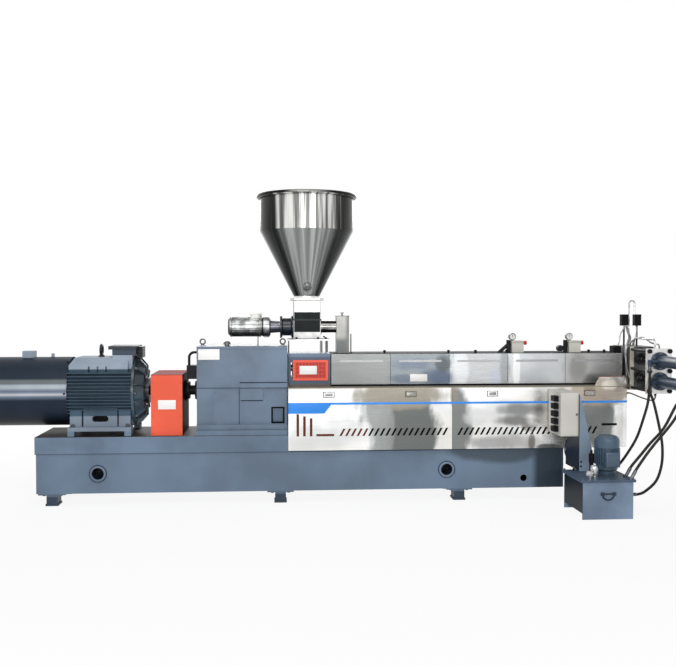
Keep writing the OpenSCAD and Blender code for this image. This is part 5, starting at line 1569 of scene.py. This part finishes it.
@dataclass
class Feeder(SubAssembly):
    """Hopper and screw feeder."""

    finishes: Mapping[str, Finish] = field(default_factory=lambda: {
        "hopper": HOPPER_STEEL, "feeder_neck": NECK_STEEL, "feeder_body": TROUGH_STEEL,
        "feeder_stand": STAND_STEEL, "feeder_lantern": LANTERN_PAINT, "feeder_motor": DRIVE_ALUMINIUM,
        "feeder_tube": TUBE_STEEL, "feed_chute": CHUTE_STEEL})
    drive_z: float = 1323
    fin: Box = ((1424, -1.6, 1392), (1650, 1.6, 1400))
    fins: int = 30
    ring: Profile = ((70, 0), (80, 0), (80, 9), (77, 12), (70, 12), (70, 0))
    rings_x: tuple[float, ...] = (1420, 1646, 1712)
    lid: Box = ((1573, -51, 1384), (1665, -45, 1428))
    port: Point = (2013, -147, 1627)
    port_aim: Point = (0, -0.883, -0.468)
    port_cap: Profile = ((0, -6), (33, -6), (33, 8), (27, 14), (22, 14), (20, 9), (10, 13), (0, 14))
    studs_x: tuple[float, ...] = (1930, 2096, 2156)
    studs_y: tuple[float, float] = (-128, 128)
    stud_z: float = 1233
    stud: float = 17

    def build(self) -> None:
        """Add the drive's fins and rings, its terminal lid, the hopper's port and the trough's studs."""
        fin = self.bench.block("drive_fins", *self.fin, 0.7)
        self.fit(self.bench.wheel(fin, (0, 0, self.drive_z), X, self.fins), FIN_ALUMINIUM, "stainless")
        places = [(x, 0, self.drive_z) for x in self.rings_x]
        ring = self.bench.turned("drive_rings", self.ring, places[0], RIGHT, 40)
        self.fit(self.bench.copies(ring, steps(places)), MACHINED_STEEL, "stainless")
        self.fit(self.bench.panel("drive_terminal_lid", *self.lid, 8, 2, 1.2), DRIVE_LID, "stainless")
        port = self.bench.turned("hopper_port", self.port_cap, self.port, self.port_aim, 32)
        self.fit(port, PORT_STEEL, "stainless")
        places = [(x, y, self.stud_z) for x in self.studs_x for y in self.studs_y]
        self.bolts("trough_studs", places, UP, self.stud, BLACK_STEEL)


@dataclass
class BarrelSheets(SubAssembly):
    """Barrel with its upper covers, seal strips and aprons."""

    finishes: Mapping[str, Finish] = field(default_factory=lambda: {
        "barrel": BLACK_STEEL, "barrel_stands": BASE_PAINT, "upper_covers": COVER_STEEL,
        "cover_seals": SEAL_RUBBER, "apron_front": APRON_STEEL, "apron_rear": REAR_STEEL,
        "apron_end_sheet": APRON_STEEL})
    plate: Box = ((2804, -171.4, 902), (2938, -170, 958))
    sheet_y: float = -310
    edge: float = 0.3
    stripe_x: tuple[float, float, float] = (1864, 2134, 2199)
    stripe_z: tuple[float, float] = (675, 757)
    stripe_proud: float = 0.8
    line_x: tuple[float, float] = (2189, 4407)
    line_z: tuple[float, float] = (741, 757)
    line_proud: float = 1
    bend: tuple[float, float] = (4437, -265)
    bend_angle: float = -85
    slot_rows: tuple[tuple[float, int], ...] = ((2247, 19), (3146, 25))
    slot_pitch: float = 43.5
    slot_foot: float = 504
    slot_size: tuple[float, float, float] = (17, 56, 30)
    inlay_y: tuple[float, float] = (-310.6, -307.4)
    brown_slots: int = 5
    bars: tuple[tuple[float, float], ...] = ((1925, 670), (1975, 654), (2025, 638))
    bar_wide: float = 19
    foot_bar: tuple[float, float, float] = (2074, 2208, 521)
    last_slot: tuple[float, float, float, float] = (4269, 4389, 566, 583)
    latches_x: tuple[float, ...] = (2168, 2789, 3415, 4172)
    latch_frame: Box = ((2126, -319.5, 796), (2210, -317.8, 840))
    latch_paddle: Box = ((2140, -322, 807), (2196, -317.8, 829))
    knobs_x: tuple[float, ...] = (2614, 3117, 3331, 3577, 4237, 4362)
    knob_y: float = -100
    cover_top: float = 1118
    knob: Profile = ((0, 0), (13, 0), (13, 4), (7, 6), (7, 10), (11, 13), (11, 20), (8, 23), (0, 24))

    def build(self) -> None:
        """Add the blank plate, the blue stripe, the slot inlays, the latches and the knobs."""
        self.blank("cover_plate", self.plate, 0.5)
        self.stripe()
        self.slots()
        self.latches()
        places = [(x, self.knob_y, self.cover_top) for x in self.knobs_x]
        knob = self.bench.turned("cover_knobs", self.knob, places[0], UP, 20)
        self.fit(self.bench.copies(knob, steps(places)), BLACK_PLASTIC, "black_plastic")

    def inlay(self, name: str, x: Sequence[float], z: Sequence[float]) -> bpy.types.Object:
        """Cut an upright inlay for the front apron.

        Args:
            name: Piece name.
            x: Left and right end.
            z: Foot and top.

        Returns:
            The inlay.
        """
        front, back = self.inlay_y
        return self.bench.block(name, (x[0], front, z[0]), (x[1], back, z[1]), self.edge)

    def slants(self, name: str, places: Sequence[float]) -> bpy.types.Object:
        """Cut a row of slanted inlays.

        Args:
            name: Piece name.
            places: Left ends of their feet.

        Returns:
            The row as one piece.
        """
        wide, high, lean = self.slot_size
        foot, first = self.slot_foot, places[0]
        piece = self.inlay(name, (first, first + wide), (foot, foot + high))
        middle = (foot + high / 2.0) * MM
        self.bench.lean(piece, lambda spot: spot.z > middle, lean)
        return self.bench.copies(piece, [(x - first, 0, 0) for x in places[1:]])

    def slots(self) -> None:
        """Set an inlay into every slot of the front apron, the first ones brown."""
        places = [start + k * self.slot_pitch for start, number in self.slot_rows for k in range(number)]
        row = self.slants("slot_inlays", places[self.brown_slots:])
        last = self.inlay("slot_last", self.last_slot[:2], self.last_slot[2:])
        self.fit(self.bench.join("slot_inlays", [row, last]), SLOT_DARK, "black_steel")
        bars = [self.inlay(f"slot_bar_{k}", (x, x + self.bar_wide), (self.slot_foot, top))
                for k, (x, top) in enumerate(self.bars)]
        bars.append(self.inlay("slot_bar_foot", self.foot_bar[:2], (self.slot_foot, self.foot_bar[2])))
        bars.append(self.slants("slot_warm", places[:self.brown_slots]))
        self.fit(self.bench.join("slot_bars", bars), SLOT_BROWN, "black_steel")

    def latches(self) -> None:
        """Frame every latch of the front apron and give it an inner paddle."""
        shifts = [(x - self.latches_x[0], 0, 0) for x in self.latches_x[1:]]
        frame = self.bench.border("latch_frames", *self.latch_frame, 5)
        paddle = self.bench.panel("latch_paddles", *self.latch_paddle, 3, 1.5, 0.8)
        self.fit(self.bench.copies(frame, shifts), LATCH_GREY, "stainless")
        self.fit(self.bench.copies(paddle, shifts), MACHINED_STEEL, "stainless")

    def strip(self, name: str, x: Sequence[float], z: Sequence[float], proud: float) -> bpy.types.Object:
        """Lay a flat strip on the front apron.

        Args:
            name: Piece name.
            x: Left and right end.
            z: Foot and top.
            proud: How far it stands off the sheet.

        Returns:
            The strip.
        """
        return self.bench.block(name, (x[0], self.sheet_y - proud, z[0]), (x[1], self.sheet_y, z[1]), self.edge)

    def stripe(self) -> None:
        """Lay the blue band with its slanted end, the bend round the corner and the thin line."""
        left, foot_end, top_end = self.stripe_x
        band = self.strip("stripe_band", (left, top_end), self.stripe_z, self.stripe_proud)
        end, low = DATUM.at((top_end - 4, 0, 0)).x, self.line_z[0] * MM
        self.bench.lean(band, lambda spot: spot.x > end and spot.z < low, foot_end - top_end)
        self.fit(band, STRIPE_BLUE, "painted")
        x, y = self.bend
        bend = self.strip("stripe_bend", (self.line_x[1], x), self.line_z, self.stripe_proud)
        edge = DATUM.at((x - 0.5, 0, 0)).x
        self.bench.pick(bend, lambda middle, normal: middle.x > edge and normal.x > 0.9)
        bpy.ops.mesh.spin(steps=10, angle=math.radians(self.bend_angle), center=DATUM.at((x, y, 0)), axis=UP)
        self.fit(self.bench.smooth(bend), STRIPE_BLUE, "painted")
        line = self.strip("stripe_line", self.line_x, self.line_z, self.line_proud)
        self.fit(line, STRIPE_BLUE, "painted")


@dataclass
class Vents(SubAssembly):
    """Vent boxes with their elbows, gauges and knobs."""

    finishes: Mapping[str, Finish] = field(default_factory=lambda: {
        "vent_boxes": BEIGE_PAINT, "vent_fittings": BLACK_STEEL, "vent_knobs": KNOB_RED})
    pitch: float = 458
    lid: Box = ((3619.5, -103, 1194), (3717.5, -7, 1211))
    gauge: Point = (3632.5, -68, 1243)
    bezel: Profile = ((22, 0), (29, 0), (29, 6), (26, 9), (22, 7), (22, 0))
    dial: Profile = ((0, 0), (22.4, 0), (22.4, 2), (19, 2.6), (0, 2.8))
    needle: Box = ((3631.1, -72.4, 1238), (3633.9, -71, 1259))

    def build(self) -> None:
        """Add a lid to each vent box, and a bezel, a dial and a needle to each gauge."""
        lid = self.bench.block("vent_lids", *self.lid, 2.5)
        bezel = self.bench.turned("gauge_bezels", self.bezel, self.gauge, FRONT, 36)
        dial = self.bench.turned("gauge_dials", self.dial, self.gauge, FRONT, 36)
        needle = self.bench.block("gauge_needles", *self.needle, 0.4)
        for piece, finish, slot in ((lid, LID_BEIGE, "beige_paint"), (bezel, MACHINED_STEEL, "stainless"),
                                    (dial, DIAL_WHITE, "beige_paint"), (needle, SLOT_DARK, "black_steel")):
            self.fit(self.bench.copies(piece, [(self.pitch, 0, 0)]), finish, slot)


@dataclass
class ScreenChanger(SubAssembly):
    """Screen changer with its pistons, cylinders and sensors."""

    finishes: Mapping[str, Finish] = field(default_factory=lambda: {
        "changer_body": BLOCK_STEEL, "tie_rods": BLACK_STEEL, "cylinder_plate": PLATE_STEEL,
        "hydraulic_cylinders": CYLINDER_PAINT, "piston_upper": PISTON_STEEL, "piston_lower": PISTON_STEEL,
        "pressure_sensors": BLACK_PLASTIC, "sensor_leads": BRIGHT_STEEL, "grease_pipe": BRIGHT_STEEL,
        "heater_terminal": BLACK_PLASTIC})
    mid_x: float = 4609
    pistons_z: tuple[float, float] = (1075, 925)
    flange_y: float = -588
    flange_pitch: float = 55
    flange_bolt: float = 17
    conduits: tuple[tuple[Point, ...], ...] = (
        ((4530, -80, 1330), (4522, -82, 1300), (4495, -90, 1258), (4487, -100, 1215), (4470, -104, 1170)),
        ((4546, -80, 1330), (4548, -95, 1290), (4550, -130, 1245), (4520, -175, 1196),
         (4488, -215, 1130), (4486, -246, 1050), (4492, -252, 980), (4512, -252, 925)),
        ((4556, -80, 1330), (4560, -100, 1280), (4556, -150, 1226), (4506, -210, 1180),
         (4482, -246, 1110), (4478, -262, 1010), (4484, -262, 900), (4498, -256, 862)),
        ((4640, -60, 1330), (4634, -80, 1290), (4600, -140, 1236), (4570, -170, 1200), (4560, -180, 1168)),
        ((4534, -200, 1168), (4536, -206, 1200), (4560, -230, 1228), (4596, -280, 1240), (4612, -330, 1226),
         (4612, -410, 1205), (4612, -520, 1200), (4612, -552, 1186), (4612, -553, 1168)))
    conduit_r: float = 6

    def build(self) -> None:
        """Bolt the cylinders' flanges down and lay the rigid conduits of the sensors and heaters."""
        top, low = self.pistons_z
        bolt = self.bench.bolt("flange_bolts", (self.mid_x, self.flange_y, top + self.flange_pitch), FRONT,
                               self.flange_bolt)
        ring = self.bench.wheel(bolt, (self.mid_x, 0, top), Y, 6)
        self.fit(self.bench.copies(ring, [(0, 0, low - top)]), NUT_STEEL, "stainless")
        runs = [self.bench.pipe(f"conduit_{k}", route, self.conduit_r) for k, route in enumerate(self.conduits)]
        self.fit(self.bench.join("sensor_conduits", runs), CONDUIT_STEEL, "stainless")


@dataclass
class PowerUnit(SubAssembly):
    """Oil tank, pump motor, post and junction box."""

    finishes: Mapping[str, Finish] = field(default_factory=lambda: {
        "oil_tank": TANK_PAINT, "tank_lid": LID_BLUE, "pump_motor": SLATE_PAINT, "tank_fittings": BRIGHT_STEEL,
        "oil_unions": NUT_STEEL, "box_post": POST_PAINT, "junction_box": BEIGE_PAINT,
        "box_connectors": BLACK_PLASTIC, "hose_upper_rod": HOSE_RUBBER, "hose_lower_rod": HOSE_RUBBER,
        "hose_upper_cap": HOSE_RUBBER, "hose_lower_cap": HOSE_RUBBER, "box_cable": HOSE_RUBBER,
        "heater_cable": HOSE_RUBBER})
    pump_axis: Point = (4153, -730, 0)
    fin: Box = ((4231, -731.6, 345), (4245, -728.4, 462))
    fins: int = 26
    pump_panel: Box = ((4104, -855, 341), (4202, -849.8, 441))
    door: Box = ((3851, -623, 535), (3977, -619.8, 843))
    lock: Point = (3966, -624, 690)
    lock_knob: Profile = ((0, 0), (9, 0), (9, 4), (6, 6), (3, 5), (0, 5))
    clamp: Box = ((4015, -995.6, 168), (4039, -981.8, 190))
    clamp_step: float = 84
    hole: Point = (3994, -640, 344)
    hole_shade_disc: Profile = ((0, 0), (8, 0), (8, 1), (6, 1.4), (0, 1.2))
    hole_drop: float = -33
    valve: Point = (4014, -800, 277)
    valve_body: Profile = ((0, 0), (15, 0), (15, 90), (19, 94), (19, 150), (14, 156), (9, 158), (9, 178), (0, 180))
    bolts_x: tuple[float, ...] = (3890, 4069, 4248)
    bolts_y: tuple[float, float] = (-982, -582)
    lid_top: float = 277
    lid_bolt: float = 15

    def build(self) -> None:
        """Add the pump's fins and panel, the box's door and lock, the tank's valve and the lid's bolts."""
        fin = self.bench.block("pump_fins", *self.fin, 0.8)
        self.fit(self.bench.wheel(fin, self.pump_axis, Z, self.fins), SLATE_PAINT, "painted")
        self.fit(self.bench.panel("pump_panel", *self.pump_panel, 12, 2.5, 1.6), PANEL_SLATE, "painted")
        self.fit(self.bench.panel("box_door", *self.door, 7, -1.2, 1), BEIGE_PAINT, "beige_paint")
        lock = self.bench.turned("box_lock", self.lock_knob, self.lock, FRONT, 20)
        self.fit(lock, NUT_STEEL, "stainless")
        clamp = self.bench.block("handle_clamps", *self.clamp, 2)
        self.fit(self.bench.copies(clamp, [(self.clamp_step, 0, 0)]), LINE_BLUE, "painted")
        # A dark disc on each hole of the post paints the shade inside the hole.
        hole = self.bench.turned("post_holes", self.hole_shade_disc, self.hole, FRONT, 20)
        self.fit(self.bench.copies(hole, [(0, 0, self.hole_drop)]), SLOT_DARK, "black_steel")
        valve = self.bench.turned("tank_valve", self.valve_body, self.valve, UP, 24)
        self.fit(valve, BLACK_PLASTIC, "black_plastic")
        places = [(x, y, self.lid_top) for x in self.bolts_x for y in self.bolts_y]
        self.bolts("lid_bolts", places, UP, self.lid_bolt, NUT_STEEL)


ASSEMBLIES: tuple[type[SubAssembly], ...] = (
    HydraulicHoses, Base, DriveMotor, CouplingGuard, Gearbox, FeedSection, Feeder, BarrelSheets, Vents,
    ScreenChanger, PowerUnit)


def main() -> None:
    """Load the frame, set the datum from the boxes of the base and the barrel, and dress it."""
    global DATUM
    logging.basicConfig(level=logging.INFO, format="%(name)s: %(message)s")
    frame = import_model()
    barrel_low, barrel_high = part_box("barrel")
    DATUM = Datum(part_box("base_box")[0].x, (barrel_low.y + barrel_high.y) / 2.0)
    Studio().build()
    bench = Bench()
    for kind in ASSEMBLIES:
        group = kind(bench, frame["nodes"])
        group.dress()
        group.build()


if __name__ == "__main__":
    main()
